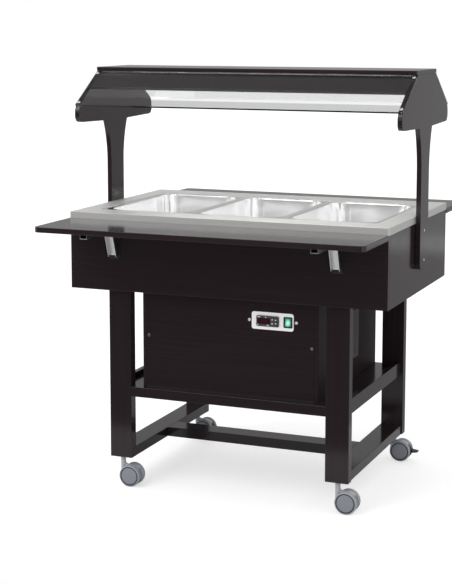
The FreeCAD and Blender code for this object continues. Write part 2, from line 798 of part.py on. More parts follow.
def switch_rocker():
    """Rocker at rest with its upper half pressed in."""
    half = switch_cell()[0] - ROCKER_GAP
    rocker = rocker_profile().extrude(V(2 * half, 0, 0))
    rocker.translate(V(SWITCH_X - half, 0, 0))
    pivot = V(SWITCH_X, CAB_FACE + ROCKER_OUT, PLATE_Z)
    rocker.rotate(pivot, V(1, 0, 0), -ROCKER_TILT)
    eye = bar((SWITCH_X - half, pivot.y, PLATE_Z), (SWITCH_X + half, pivot.y, PLATE_Z), ROCKER_PIN_R + RUN_FIT)
    return rocker.cut(eye)


def switch_bezel():
    lip = prism(rectangle(SWITCH_W / 2, SWITCH_H / 2, SWITCH_LIP_R, SWITCH_X, PLATE_Z), "Y", SWITCH_FACE, CAB_FACE)
    shell = lip.fuse(switch_body())
    half_w, half_h = switch_cell()
    cell = box(SWITCH_X - half_w, SWITCH_X + half_w, SWITCH_FACE, CAB_FACE + SWITCH_CELL,
               PLATE_Z - half_h, PLATE_Z + half_h)
    pivot_y = CAB_FACE + ROCKER_OUT
    pin = bar((SWITCH_X - half_w, pivot_y, PLATE_Z), (SWITCH_X + half_w, pivot_y, PLATE_Z), ROCKER_PIN_R)
    return fused([shell.cut(cell), pin])


def compressor():
    """Welded pot, turned in one profile, on a foot plate with four rubber feet."""
    low = SHELF_TOP + COMP_FOOT_H
    flat = COMP_R - COMP_DOME_IN
    profile = [(0.0, 0.0), (flat, 0.0), (COMP_R - COMP_DOME_WAIST, COMP_DOME_WAIST), (COMP_R, COMP_DOME_H)]
    profile += [(radius, COMP_H - up) for radius, up in reversed(profile)]
    spots = [(COMP_X + radius, COMP_Y, low + up) for radius, up in profile]
    pot = turned(spots, (COMP_X, COMP_Y, 0), (0, 0, 1))
    seam = Part.makeCylinder(COMP_R + COMP_SEAM_OUT, COMP_SEAM_H, V(COMP_X, COMP_Y, low + COMP_SEAM_UP))
    plate = box(COMP_X - COMP_R, COMP_X + COMP_R, COMP_Y - COMP_PLATE_D / 2, COMP_Y + COMP_PLATE_D / 2,
                low - COMP_PLATE_T, low)
    feet = []
    for side_x in (-1, 1):
        for side_y in (-1, 1):
            x = COMP_X + side_x * COMP_FOOT_DX
            y = COMP_Y + side_y * COMP_FOOT_DY
            feet.append(bar((x, y, SHELF_TOP), (x, y, low - COMP_PLATE_T), COMP_FOOT_R))
    return fused([pot, seam, plate] + feet)


def condenser():
    """Core of flat tubes and fins on two feet, with the fan's shroud plate on its inner side."""
    y0 = COND_Y - COND_W / 2
    y1 = COND_Y + COND_W / 2
    x0 = COND_X - COND_T / 2
    x1 = COND_X + COND_T / 2
    top = COND_LOW + COND_H
    pieces = []
    for fin in range(COND_FINS):
        y = y0 + (y1 - y0 - COND_FIN_T) * fin / (COND_FINS - 1)
        pieces.append(box(x0, x1, y, y + COND_FIN_T, COND_LOW, top))
    for row in range(COND_TUBES):
        z = COND_LOW + COND_H * (row + 0.5) / COND_TUBES
        pieces.append(box(COND_X - COND_TUBE_D / 2, COND_X + COND_TUBE_D / 2, y0, y1,
                          z - COND_TUBE_H / 2, z + COND_TUBE_H / 2))
    for y in (y0, y1 - COND_FIN_T):
        pieces.append(box(x0, x1, y, y + COND_FIN_T, SHELF_TOP, COND_LOW))
    pieces.append(box(x0 - SHROUD_GAP, x1, y0, y1, top, top + SHROUD_T))
    shroud = box(SHROUD_X, SHROUD_X + SHROUD_T, y0, y1, SHELF_TOP, top + SHROUD_T)
    mouth = bar((SHROUD_X, COND_Y, FAN_Z), (SHROUD_X + SHROUD_T, COND_Y, FAN_Z), FAN_R + FAN_TIP_GAP)
    pieces.append(shroud.cut(mouth))
    return fused(pieces)


def fan_motor():
    """Motor with its shaft, on a strap across the shroud's mouth."""
    near = SHROUD_X - FAN_HUB_L / 2 - MOTOR_GAP
    motor = bar((near - MOTOR_L, COND_Y, FAN_Z), (near, COND_Y, FAN_Z), MOTOR_R)
    shaft = bar((near, COND_Y, FAN_Z), (SHROUD_X + FAN_HUB_L / 2, COND_Y, FAN_Z), FAN_SHAFT_R)
    reach = FAN_R + FAN_TIP_GAP + STRAP_W
    back = near - MOTOR_L
    strap = box(back - SHROUD_T, back, COND_Y - STRAP_W / 2, COND_Y + STRAP_W / 2, FAN_Z - reach, FAN_Z + reach)
    pieces = [motor, shaft, strap]
    for side in (-1, 1):
        z0, z1 = sorted((FAN_Z + side * reach, FAN_Z + side * (reach - SHROUD_T)))
        pieces.append(box(back, SHROUD_X, COND_Y - STRAP_W / 2, COND_Y + STRAP_W / 2, z0, z1))
    return fused(pieces)


def fan_blade():
    """Hub with pitched blades, trimmed to one round tip circle."""
    middle = V(SHROUD_X, COND_Y, FAN_Z)
    low = SHROUD_X - FAN_HUB_L / 2
    hub = bar((low, COND_Y, FAN_Z), (low + FAN_HUB_L, COND_Y, FAN_Z), FAN_HUB_R)
    pieces = [hub]
    for blade in range(FAN_BLADES):
        half = FAN_BLADE_W / 2
        plate = box(SHROUD_X - FAN_BLADE_T / 2, SHROUD_X + FAN_BLADE_T / 2, COND_Y - half, COND_Y + half,
                    FAN_Z + FAN_SHAFT_R + RUN_FIT, FAN_Z + FAN_R)
        plate.rotate(middle, V(0, 0, 1), FAN_PITCH)
        plate.rotate(middle, V(1, 0, 0), 360 * blade / FAN_BLADES)
        pieces.append(plate)
    sweep = bar((SHROUD_X - FAN_BLADE_W, COND_Y, FAN_Z), (SHROUD_X + FAN_BLADE_W, COND_Y, FAN_Z), FAN_R)
    bore = bar((low, COND_Y, FAN_Z), (low + FAN_HUB_L, COND_Y, FAN_Z), FAN_SHAFT_R + RUN_FIT)
    return fused(pieces).common(sweep).cut(bore)


# Canopy

def neck_sweep():
    """Middle of the arc that leaves the post upright and swings out to the lobe."""
    wide = NECK_HALF - POST_HALF
    tall = NECK_Z - POST_BEND_Z
    radius = (wide ** 2 + tall ** 2) / (2 * wide)
    half_turn = math.asin(tall / radius) / 2
    return POST_HALF + radius * (1 - math.cos(half_turn)), POST_BEND_Z + radius * math.sin(half_turn)


def gable(side):
    """End board: a post with swept shoulders under a head with two rounded lobes."""
    put = lambda p: V(side * GABLE_IN, p.x, p.y)
    head = [(-HEAD_HALF, CANOPY_LOW, 0.0), (HEAD_HALF, CANOPY_LOW, 0.0), (LOBE_HALF, LOBE_TOP_Z, LOBE_TOP_R),
            (LOBE_HALF, LOBE_Z, LOBE_LOW_R), (NECK_HALF, NECK_Z, 0.0), (-NECK_HALF, NECK_Z, 0.0),
            (-LOBE_HALF, LOBE_Z, LOBE_LOW_R), (-LOBE_HALF, LOBE_TOP_Z, LOBE_TOP_R)]
    sweep_y, sweep_z = neck_sweep()
    inset = GABLE_R * (1 - math.sqrt(0.5))
    foot_z = GABLE_BOTTOM + GABLE_R
    edges = [
        Part.makeLine(put(V(-NECK_HALF, NECK_Z, 0)), put(V(NECK_HALF, NECK_Z, 0))),
        Part.makeLine(put(V(GABLE_R - POST_HALF, GABLE_BOTTOM, 0)), put(V(POST_HALF - GABLE_R, GABLE_BOTTOM, 0))),
    ]
    for way in (-1, 1):
        neck = put(V(way * NECK_HALF, NECK_Z, 0))
        bend = put(V(way * POST_HALF, POST_BEND_Z, 0))
        foot = put(V(way * POST_HALF, foot_z, 0))
        toe = put(V(way * (POST_HALF - GABLE_R), GABLE_BOTTOM, 0))
        edges.append(Part.Arc(neck, put(V(way * sweep_y, sweep_z, 0)), bend).toShape())
        edges.append(Part.makeLine(bend, foot))
        edges.append(Part.Arc(foot, put(V(way * (POST_HALF - inset), GABLE_BOTTOM + inset, 0)), toe).toShape())
    push = V(side * GABLE_T, 0, 0)
    post = Part.Face(Part.Wire(Part.__sortEdges__(edges))).extrude(push)
    return fused([Part.Face(outline(head, put)).extrude(push), post])


def canopy_board():
    ring = rectangle(GABLE_OUT, CANOPY_D / 2, CANOPY_R)
    return prism(ring, "Z", CANOPY_LOW, CANOPY_Z)


def slope_point(side, along, lift):
    """Point on the gables' slope: along it from the top corner, and lifted square to it."""
    start = V(side * HEAD_HALF, CANOPY_LOW, 0)
    end = V(side * LOBE_HALF, LOBE_TOP_Z, 0)
    way = (end - start).normalize()
    square = V(-way.y * side, way.x * side, 0)
    place = start + way * along + square * lift
    return (place.x, place.y, 0.0)


def slope_board(side, first, last, low, high, half_x):
    corners = [slope_point(side, *spot) for spot in ((first, low), (last, low), (last, high), (first, high))]
    return prism(corners, "X", -half_x, half_x)


def glass_panes():
    panes = [slope_board(side, GLASS_FROM, GLASS_LAST, 0.0, GLASS_T, GABLE_OUT) for side in (-1, 1)]
    return Part.makeCompound(panes)


def valances():
    boards = []
    for side in (-1, 1):
        boards.append(slope_board(side, GLASS_FROM, GLASS_FROM + VALANCE_LONG, -VALANCE_GAP - VALANCE_T,
                                  -VALANCE_GAP, GABLE_IN))
    return Part.makeCompound(boards)


def lamp_holder():
    low = CANOPY_LOW - LAMP_H
    axis_z = low - LAMP_DROP
    channel = box(-LAMP_HALF, LAMP_HALF, -LAMP_W / 2, LAMP_W / 2, low, CANOPY_LOW)
    sockets = []
    for side in (-1, 1):
        x0, x1 = sorted((side * LAMP_HALF, side * (LAMP_HALF - LAMP_SOCKET)))
        reach = LAMP_R + LAMP_SOCKET_WALL
        sockets.append(box(x0, x1, -reach, reach, axis_z - reach, low))
    return fused([channel] + sockets)


def lamp_tube():
    z = CANOPY_LOW - LAMP_H - LAMP_DROP
    end = LAMP_HALF - LAMP_SOCKET
    return bar((-end, 0, z), (end, 0, z), LAMP_R)


# Fold-down trays; the front ones are drawn, the rear ones are their mirror images

def tray():
    half = HALF_W
    corners = [
        (-half, -TRAY_IN - TRAY_D, TRAY_R),
        (half, -TRAY_IN - TRAY_D, TRAY_R),
        (half, -TRAY_IN, 0.0),
        (-half, -TRAY_IN, 0.0),
    ]
    return prism(corners, "Z", TRAY_LOW, TRAY_Z)


def bracket_plate(x):
    """Wall plate with a lug that carries the arm's hinge pin."""
    top = TRAY_LOW - PLATE_BR_DROP
    plate = box(x - PLATE_BR_W / 2, x + PLATE_BR_W / 2, -PLATE_FACE, -BOX_Y, top - PLATE_BR_H, top)
    half = LUG_W / 2
    nose = bar((x - half, -HINGE_Y, HINGE_Z), (x + half, -HINGE_Y, HINGE_Z), LUG_R)
    neck = box(x - half, x + half, -HINGE_Y, -PLATE_FACE, HINGE_Z - LUG_R, HINGE_Z + LUG_R)
    reach = ARM_W / 2 + HINGE_PIN_END
    pin = bar((x - reach, -HINGE_Y, HINGE_Z), (x + reach, -HINGE_Y, HINGE_Z), HINGE_PIN_R)
    return fused([plate, nose, neck, pin])


def tray_arm(x):
    """Channel under the tray, open at the top, with a round nose about the hinge pin."""
    half = ARM_W / 2
    low = TRAY_LOW - ARM_H
    far = -HINGE_Y - ARM_LONG
    side = [
        (far, low, ARM_END_R),
        (-HINGE_Y + ARM_NOSE, low, ARM_NOSE_R),
        (-HINGE_Y + ARM_NOSE, TRAY_LOW, 0.0),
        (far, TRAY_LOW, 0.0),
    ]
    channel = prism(side, "X", x - half, x + half)
    hollow = box(x - half + ARM_T, x + half - ARM_T, far, -HINGE_Y - ARM_WEB_FROM, low + ARM_T, TRAY_LOW)
    mouth = box(x - half + ARM_T, x + half - ARM_T, -HINGE_Y - ARM_WEB_FROM, -BOX_Y, low, TRAY_LOW)
    eye = bar((x - half, -HINGE_Y, HINGE_Z), (x + half, -HINGE_Y, HINGE_Z), HINGE_PIN_R + RUN_FIT)
    reach = STRUT_W / 2
    pin = bar((x - reach, -STRUT_PIN_Y, STRUT_PIN_Z), (x + reach, -STRUT_PIN_Y, STRUT_PIN_Z), STRUT_PIN_R)
    return fused([cut(channel, [hollow, mouth, eye]), pin])


def tray_strut(x):
    """Channel strut, open to the front, drawn hanging straight down from its pin and then leaned in."""
    y = -STRUT_PIN_Y
    z = STRUT_PIN_Z
    half = STRUT_W / 2
    back = y + STRUT_WEB_OFF + STRUT_T
    side = [
        (y - STRUT_LIP, z - STRUT_LONG, STRUT_END_R),
        (back, z - STRUT_LONG, 0.0),
        (back, z - STRUT_WEB_FROM, 0.0),
        (y + STRUT_LIP, z + STRUT_LIP, STRUT_TOP_R),
        (y - STRUT_LIP, z + STRUT_LIP, STRUT_TOP_R),
    ]
    body = prism(side, "X", x - half, x + half)
    inside = half - STRUT_T
    hollow = box(x - inside, x + inside, y - STRUT_LIP, y + STRUT_WEB_OFF, z - STRUT_LONG, z + STRUT_LIP)
    above = box(x - inside, x + inside, y - STRUT_LIP, back, z - STRUT_WEB_FROM, z + STRUT_LIP)
    eye = bar((x - half, y, z), (x + half, y, z), STRUT_PIN_R + RUN_FIT)
    strut = cut(body, [hollow, above, eye])
    strut.rotate(V(x, y, z), V(1, 0, 0), STRUT_LEAN)
    return strut


def at_brackets(make):
    return Part.makeCompound([make(-BRACKET_X), make(BRACKET_X)])


def bracket_plates():
    front = [bracket_plate(-BRACKET_X), bracket_plate(BRACKET_X)]
    rear = [mirrored(plate, V(0, 1, 0)) for plate in front]
    return Part.makeCompound(front + rear)


# Casters

def caster_stem(x, y):
    """Fixed stem pressed into the leg, with the collar that shows above the neck."""
    top = CASTER_H
    stem = bar((x, y, top - COLLAR_H - STEM_DOWN), (x, y, top + STEM_UP), STEM_R)
    collar = bar((x, y, top - COLLAR_H), (x, y, top), NECK_PIPE_R)
    return fused([stem, collar])


def caster_hood(x, y, braked):
    """Neck and central web between the wheels, cut away at its trailing side."""
    wheel_x = x + TRAIL
    neck_top = CASTER_H - COLLAR_H - COLLAR_GAP
    crown = WHEEL_R + HOOD_R
    neck = bar((x, y, WHEEL_R), (x, y, neck_top), NECK_PIPE_R)
    web = bar((wheel_x, y - HOOD_HALF, WHEEL_R), (wheel_x, y + HOOD_HALF, WHEEL_R), HOOD_R)
    gusset = prism([
        (x, WHEEL_R, 0.0),
        (wheel_x, WHEEL_R, 0.0),
        (wheel_x, crown, 0.0),
        (x + NECK_PIPE_R, crown, GUSSET_R),
        (x + NECK_PIPE_R / 2, neck_top - GUSSET_DROP, 0.0),
        (x, neck_top - GUSSET_DROP, 0.0),
    ], "Y", y - NECK_PIPE_R / 2, y + NECK_PIPE_R / 2)
    below = box(x - HOOD_R, wheel_x + HOOD_R, y - NECK_PIPE_R, y + NECK_PIPE_R, 0, HOOD_LOW)
    tail = box(wheel_x + PEDAL_FROM_R, wheel_x + PEDAL_TIP, y - NECK_PIPE_R, y + NECK_PIPE_R,
               0, WHEEL_R + HOOD_TAIL_UP)
    stem = bar((x, y, CASTER_H - COLLAR_H - STEM_DOWN - COLLAR_GAP), (x, y, neck_top), STEM_R + RUN_FIT)
    axle = bar((wheel_x, y - HOOD_HALF, WHEEL_R), (wheel_x, y + HOOD_HALF, WHEEL_R), AXLE_R + RUN_FIT)
    hood = cut(fused([neck, web, gusset]), [below, tail, stem, axle])
    if not braked:
        return hood
    slot = box(wheel_x + PEDAL_PIN_X / 2, wheel_x + HOOD_R, y - PEDAL_SLOT, y + PEDAL_SLOT,
               WHEEL_R - PEDAL_SLOT_H / 2, WHEEL_R + PEDAL_SLOT_H / 2)
    pin_x = wheel_x + PEDAL_PIN_X
    pin = bar((pin_x, y - HOOD_HALF, WHEEL_R), (pin_x, y + HOOD_HALF, WHEEL_R), PEDAL_PIN_R)
    return fused([hood.cut(slot), pin])


def caster_wheels(x, y):
    """Two capped wheels on one axle; a groove rings each outer face."""
    wheel_x = x + TRAIL
    wheels = []
    for side in (-1, 1):
        profile = [
            (AXLE_R, WHEEL_IN),
            (WHEEL_R - WHEEL_SHOULDER / 2, WHEEL_IN),
            (WHEEL_R, WHEEL_IN + WHEEL_SHOULDER / 2),
            (WHEEL_R, WHEEL_OUT - WHEEL_SHOULDER),
            (WHEEL_R - WHEEL_SHOULDER, WHEEL_OUT),
            (WHEEL_RING_R, WHEEL_OUT),
            (WHEEL_RING_R, WHEEL_OUT - WHEEL_RING_DEEP),
            (WHEEL_RING_R - WHEEL_RING_W, WHEEL_OUT - WHEEL_RING_DEEP),
            (WHEEL_RING_R - WHEEL_RING_W, WHEEL_OUT),
            (0.0, WHEEL_OUT),
            (0.0, WHEEL_OUT - AXLE_END),
            (AXLE_R, WHEEL_OUT - AXLE_END),
        ]
        spots = [(wheel_x + r, y + side * out, WHEEL_R) for r, out in profile]
        wheels.append(turned(spots, (wheel_x, y, WHEEL_R), (0, 1, 0)))
    end = WHEEL_OUT - AXLE_END
    wheels.append(bar((wheel_x, y - end, WHEEL_R), (wheel_x, y + end, WHEEL_R), AXLE_R))
    return Part.makeCompound(wheels)


def brake_pedal(x, y):
    """Lever on the hood's pin: a tongue in the slot, a shoe between the wheels and a broad wedge tip."""
    wheel_x = x + TRAIL
    pin_x = wheel_x + PEDAL_PIN_X
    shoe_x = wheel_x + PEDAL_FROM_R + PEDAL_PLAY
    rim_x = wheel_x + WHEEL_R
    half = HOOD_HALF - PEDAL_PLAY / 2
    nose = PEDAL_TONGUE_H / 2
    tongue = prism([
        (pin_x - nose, WHEEL_R - nose, PEDAL_TONGUE_R),
        (shoe_x + PEDAL_CUT, WHEEL_R - nose, 0.0),
        (shoe_x + PEDAL_CUT, WHEEL_R + nose, 0.0),
        (pin_x - nose, WHEEL_R + nose, PEDAL_TONGUE_R),
    ], "Y", y - PEDAL_TONGUE, y + PEDAL_TONGUE)
    shoe = prism([
        (shoe_x + PEDAL_CUT, WHEEL_R - PEDAL_HALF_H, 0.0),
        (rim_x - PEDAL_PLAY, WHEEL_R - PEDAL_HALF_H, PEDAL_EDGE_R),
        (rim_x + PEDAL_PLAY, WHEEL_R, PEDAL_EDGE_R),
        (rim_x - PEDAL_CUT, WHEEL_R + PEDAL_HALF_H, PEDAL_EDGE_R),
        (shoe_x, WHEEL_R + PEDAL_HALF_H, 0.0),
    ], "Y", y - half, y + half)
    flare_x = rim_x + PEDAL_CUT
    tip_x = wheel_x + PEDAL_TIP
    plan = prism([
        (rim_x - PEDAL_PLAY, y - half, 0.0),
        (rim_x + PEDAL_PLAY, y - half, 0.0),
        (flare_x, y - PEDAL_TIP_HALF, PEDAL_EDGE_R),
        (tip_x, y - PEDAL_TIP_HALF, PEDAL_TIP_R),
        (tip_x, y + PEDAL_TIP_HALF, PEDAL_TIP_R),
        (flare_x, y + PEDAL_TIP_HALF, PEDAL_EDGE_R),
        (rim_x + PEDAL_PLAY, y + half, 0.0),
        (rim_x - PEDAL_PLAY, y + half, 0.0),
    ], "Z", WHEEL_R - PEDAL_HALF_H, WHEEL_R + PEDAL_HALF_H)
    wedge = prism([
        (rim_x - PEDAL_PLAY, WHEEL_R - PEDAL_NECK_T / 2, 0.0),
        (flare_x, WHEEL_R - PEDAL_WEDGE_T / 2, 0.0),
        (tip_x, WHEEL_R - PEDAL_TIP_T / 2, 0.0),
        (tip_x, WHEEL_R + PEDAL_TIP_T / 2, 0.0),
        (flare_x, WHEEL_R + PEDAL_WEDGE_T / 2, 0.0),
        (rim_x - PEDAL_PLAY, WHEEL_R + PEDAL_NECK_T / 2, 0.0),
    ], "Y", y - PEDAL_TIP_HALF, y + PEDAL_TIP_HALF)
    tip = plan.common(wedge)
    eye = bar((pin_x, y - PEDAL_TONGUE, WHEEL_R), (pin_x, y + PEDAL_TONGUE, WHEEL_R), PEDAL_PIN_R + RUN_FIT)
    return fused([tongue, shoe, tip]).cut(eye)


# Fasteners

def fastener(seat, way, length, head_r, head_t):
    """Round-headed fastener: the head stands on its seat and the shank runs the given way."""
    shank = Part.makeCylinder(SCREW_R, length, seat, way)
    head = Part.makeCylinder(head_r, head_t, seat, way * -1)
    return fused([shank, head])


def screw_places():
    """Seat, direction and length of each screw."""
    places = []
    for side in (-1, 1):
        for z in GABLE_SCREWS_Z:
            places.append((V(side * GABLE_OUT, 0, z), V(-side, 0, 0), GABLE_SCREW_LONG))
        panel = V(side * PANEL_SCREW_X, CAB_FRONT, PANEL_SCREW_Z)
        plate = V(PLATE_X + side * PLATE_SCREW_DX, CAB_FRONT, PLATE_Z)
        places.append((panel, V(0, 1, 0), PANEL_SCREW_LONG))
        places.append((plate, V(0, 1, 0), PANEL_SCREW_LONG))
    return places


def stud_places():
    """Seats of the studs that hold each pane on the gables' slopes."""
    middle = GABLE_IN + GABLE_T / 2
    places = []
    for side in (-1, 1):
        top = V(*slope_point(side, GLASS_FROM + STUD_END, GLASS_T))
        low = V(*slope_point(side, GLASS_LAST - STUD_END, GLASS_T))
        into = V(*slope_point(side, GLASS_FROM + STUD_END, 0)) - top
        for end in (-1, 1):
            for spot in (top, low):
                places.append((V(end * middle, spot.x, spot.y), V(0, into.x, into.y).normalize(), STUD_LONG))
    return places


def fasteners():
    screws = [fastener(*place, SCREW_HEAD_R, SCREW_HEAD_T) for place in screw_places()]
    studs = [fastener(*place, STUD_HEAD_R, STUD_HEAD_T) for place in stud_places()]
    return Part.makeCompound(screws + studs)


def drilled(shape):
    """The piece with a hole for every shank that meets it."""
    holes = []
    for seat, way, length in screw_places() + stud_places():
        hole = Part.makeCylinder(SCREW_R, length, seat, way)
        if hole.BoundBox.intersect(shape.BoundBox):
            holes.append(hole)
    return cut(shape, holes)


def main():
    os.makedirs("parts", exist_ok=True)
    rear = V(0, 1, 0)
    nodes = {
        "top_deck": top_deck(),
        "well_liner": well_liner(),
        "insulation": insulation(),
        "cooling_coil": cooling_coil(),
        "base_panel": base_panel(),
        "long_aprons": Part.makeCompound([long_apron(-1), long_apron(1)]),
        "side_aprons": drilled(Part.makeCompound([short_apron(-1), short_apron(1)])),
        "left_front_leg": leg(-1, -1),
        "left_rear_leg": leg(-1, 1),
        "right_front_leg": leg(1, -1),
        "right_rear_leg": leg(1, 1),
        "foot_rails": foot_rails(),
        "stretcher": stretcher(),
        "shelf_board": shelf_board(),
        "shelf_side_rails": shelf_side_rails(),
        "cabinet_front": drilled(cabinet_front()),
        "cabinet_shell": cabinet_shell(),
        "vent_grille": vent_grille(),
        "power_inlet": power_inlet(),
        "control_plate": control_plate(),
        "thermostat_case": thermostat_case(),
        "thermostat_window": window_block(),
        "switch_bezel": switch_bezel(),
        "compressor": compressor(),
        "condenser": fused([condenser(), fan_motor()]),
        "left_gable": drilled(gable(-1)),
        "right_gable": drilled(gable(1)),
        "canopy_board": canopy_board(),
        "valances": valances(),
        "glass_panes": drilled(glass_panes()),
        "lamp_holder": lamp_holder(),
        "lamp_tube": lamp_tube(),
        "bracket_plates": bracket_plates(),
        "caster_stems": Part.makeCompound([caster_stem(*place) for place in CASTERS.values()]),
        "screws": fasteners(),
        "front_tray": tray(),
        "front_arms": at_brackets(tray_arm),
        "front_struts": at_brackets(tray_strut),
        "rear_tray": mirrored(tray(), rear),
        "rear_arms": mirrored(at_brackets(tray_arm), rear),
        "rear_struts": mirrored(at_brackets(tray_strut), rear),
        "fan_blade": fan_blade(),
        "switch_rocker": switch_rocker(),
    }
    for name, x in PAN_XS.items():
        nodes["pan_" + name] = food_pan(x)
    for name in key_places():
        nodes["key_" + name] = thermostat_key(name)
    for name, (x, y) in CASTERS.items():
        braked = name.startswith("rear")
        nodes[name + "_hood"] = caster_hood(x, y, braked)
        nodes[name + "_wheels"] = caster_wheels(x, y)
        if braked:
            nodes[name + "_pedal"] = brake_pedal(x, y)
    for name, shape in nodes.items():
        shape.exportStep("parts/" + name + ".step")


main()
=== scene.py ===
# %% [markdown]
# The cart's construction comes from its CAD model, already at its real size and place.

# %% Load the frame
import json
import math

import bpy
from mathutils import Matrix, Vector


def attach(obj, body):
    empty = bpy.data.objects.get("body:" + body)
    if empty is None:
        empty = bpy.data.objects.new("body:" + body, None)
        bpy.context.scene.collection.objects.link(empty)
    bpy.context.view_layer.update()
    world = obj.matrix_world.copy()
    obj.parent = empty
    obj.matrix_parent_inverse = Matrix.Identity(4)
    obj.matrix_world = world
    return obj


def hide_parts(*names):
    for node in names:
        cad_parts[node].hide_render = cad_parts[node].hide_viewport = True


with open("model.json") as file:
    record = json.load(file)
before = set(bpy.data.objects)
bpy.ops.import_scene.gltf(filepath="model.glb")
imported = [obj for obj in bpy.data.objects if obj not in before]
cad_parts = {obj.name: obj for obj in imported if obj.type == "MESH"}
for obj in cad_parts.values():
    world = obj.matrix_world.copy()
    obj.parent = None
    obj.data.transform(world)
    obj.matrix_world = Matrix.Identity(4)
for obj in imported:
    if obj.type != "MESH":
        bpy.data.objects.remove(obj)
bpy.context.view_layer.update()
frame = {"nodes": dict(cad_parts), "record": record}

nodes = frame["nodes"]
bodies = frame["record"]["behaviour"]["bodies"]
body_of_node = {node: body for body, names in bodies.items() for node in names}
slot_of_node = {part["node"]: part["material_slot"] for part in frame["record"]["subparts"]}

# %% [markdown]
# The camera stands to the right of the cart's front, a little higher than its canopy. The photograph was
# cropped low. A camera that is tilted down would make the uprights lean, so this one looks nearly level,
# and its frame is shifted down instead.

# %% Camera
PHOTO_H = 584
FOCAL_PX = 1485.0
AXIS_ABOVE_MIDDLE_PX = 67.0
SENSOR_MM = 36.0
CAMERA_PLACE = (1.830, -4.782, 1.579)
CAMERA_YAW = math.radians(22.37)
CAMERA_PITCH = math.radians(7.75)

bpy.ops.object.select_all(action="DESELECT")
bpy.ops.object.camera_add(location=CAMERA_PLACE, rotation=(math.pi / 2 - CAMERA_PITCH, 0, CAMERA_YAW))
camera = bpy.context.object
camera.data.sensor_width = SENSOR_MM
camera.data.lens = FOCAL_PX / PHOTO_H * SENSOR_MM
camera.data.shift_y = -AXIS_ABOVE_MIDDLE_PX / PHOTO_H
bpy.context.scene.camera = camera
print("lens", round(camera.data.lens, 2), "mm, shift", round(camera.data.shift_y, 4))

# %% [markdown]
# The cart stands in a plain white studio, with even light from all around. A picture of a real studio
# could light it too, but its windows and lamps would show in every gloss, so the world is one white.

# %% World
STUDIO_WHITE = 1.0

world = bpy.data.worlds.new("white_studio")
bpy.context.scene.world = world
world.use_nodes = True
background = world.node_tree.nodes["Background"]
background.inputs["Color"].default_value = (1, 1, 1, 1)
background.inputs["Strength"].default_value = STUDIO_WHITE
print("world", world.name, "at strength", STUDIO_WHITE)

# %% [markdown]
# The floor is a pale plane under and behind the cart. In pure white paint it would throw too much light
# up at the boards. It is a light grey that glows a little for the camera alone, so it looks nearly white
# there and still keeps the cart's shadow.

# %% Floor
FLOOR_SIZE = 24.0
FLOOR_FRONT = -1.0
FLOOR_COLOR = (0.62, 0.62, 0.62, 1)
FLOOR_ROUGHNESS = 0.9
FLOOR_LIFT = 0.55


def studio_floor():
    bpy.ops.object.select_all(action="DESELECT")
    bpy.ops.mesh.primitive_plane_add(size=FLOOR_SIZE, location=(0, FLOOR_FRONT + FLOOR_SIZE / 2, 0))
    floor = bpy.context.object
    floor.name = "studio_floor"
    paint = bpy.data.materials.new("pale_floor")
    paint.use_nodes = True
    tree = paint.node_tree
    shader = tree.nodes["Principled BSDF"]
    shader.inputs["Base Color"].default_value = FLOOR_COLOR
    shader.inputs["Roughness"].default_value = FLOOR_ROUGHNESS
    shader.inputs["Emission Color"].default_value = (1, 1, 1, 1)
    light = tree.nodes.new("ShaderNodeLightPath")
    lift = tree.nodes.new("ShaderNodeMath")
    lift.operation = "MULTIPLY"
    lift.inputs[1].default_value = FLOOR_LIFT
    tree.links.new(light.outputs["Is Camera Ray"], lift.inputs[0])
    tree.links.new(lift.outputs[0], shader.inputs["Emission Strength"])
    floor.data.materials.append(paint)


studio_floor()
print("floor", FLOOR_SIZE, "m wide")

# %% [markdown]
# Lacquer shows what it mirrors, so four flags are set up as in a photographer's studio: a dark one in
# front keeps the cart's front nearly black, a grey one behind keeps the flat tops grey, one on the floor
# dulls the right-hand faces, and one overhead keeps the sloped glass clear. A darker paint could do some
# of this, but it would be wrong under other light. The flags are seen only in gloss and through glass,
# the grey one only in gloss, and none of them throws a shadow.

# %% Flags
UPRIGHT = math.pi / 2
LEVEL = 0.0
FLAGS = {
    "front_flag": {"place": (-2.5, -6.5, -0.9), "tilt": UPRIGHT, "size": (16.0, 4.8), "shade": 0.05},
    "back_flag": {"place": (-1.0, 6.0, 2.0), "tilt": UPRIGHT, "size": (22.0, 4.2), "shade": 0.40},
    "side_flag": {"place": (1.55, 2.95, 0.003), "tilt": LEVEL, "size": (2.1, 4.5), "shade": 0.30},
    "top_flag": {"place": (-1.15, 0.87, 4.0), "tilt": LEVEL, "size": (2.6, 1.4), "shade": 0.22},
}


def studio_flag(name, place, tilt, size, shade):
    """A panel that neither the camera nor matt faces see: level, or tilted upright about X."""
    bpy.ops.object.select_all(action="DESELECT")
    bpy.ops.mesh.primitive_plane_add(size=1, location=place, rotation=(tilt, 0, 0))
    flag = bpy.context.object
    flag.name = name
    flag.scale = (*size, 1)
    cloth = bpy.data.materials.new(name + "_cloth")
    cloth.use_nodes = True
    shader = cloth.node_tree.nodes["Principled BSDF"]
    shader.inputs["Base Color"].default_value = (0, 0, 0, 1)
    shader.inputs["Specular IOR Level"].default_value = 0.0
    shader.inputs["Emission Color"].default_value = (1, 1, 1, 1)
    shader.inputs["Emission Strength"].default_value = shade
    flag.data.materials.append(cloth)
    flag.visible_camera = False
    flag.visible_diffuse = False
    flag.visible_shadow = False
    return flag


flags = {name: studio_flag(name, **plan) for name, plan in FLAGS.items()}
flags["back_flag"].visible_transmission = False
print("flags", ", ".join(flags))

# %% [markdown]
# One large, soft lamp hangs high at the front left and gives the light a side to come from. A small lamp
# would draw hard shadows, and a strong one would wash out the steel, so it is wide and weak.

# %% Lamp
KEY_PLACE = (-1.6, -2.6, 3.6)
KEY_AIM = (0, 0, 0.8)
KEY_SIZE = 2.4
KEY_POWER = 60.0

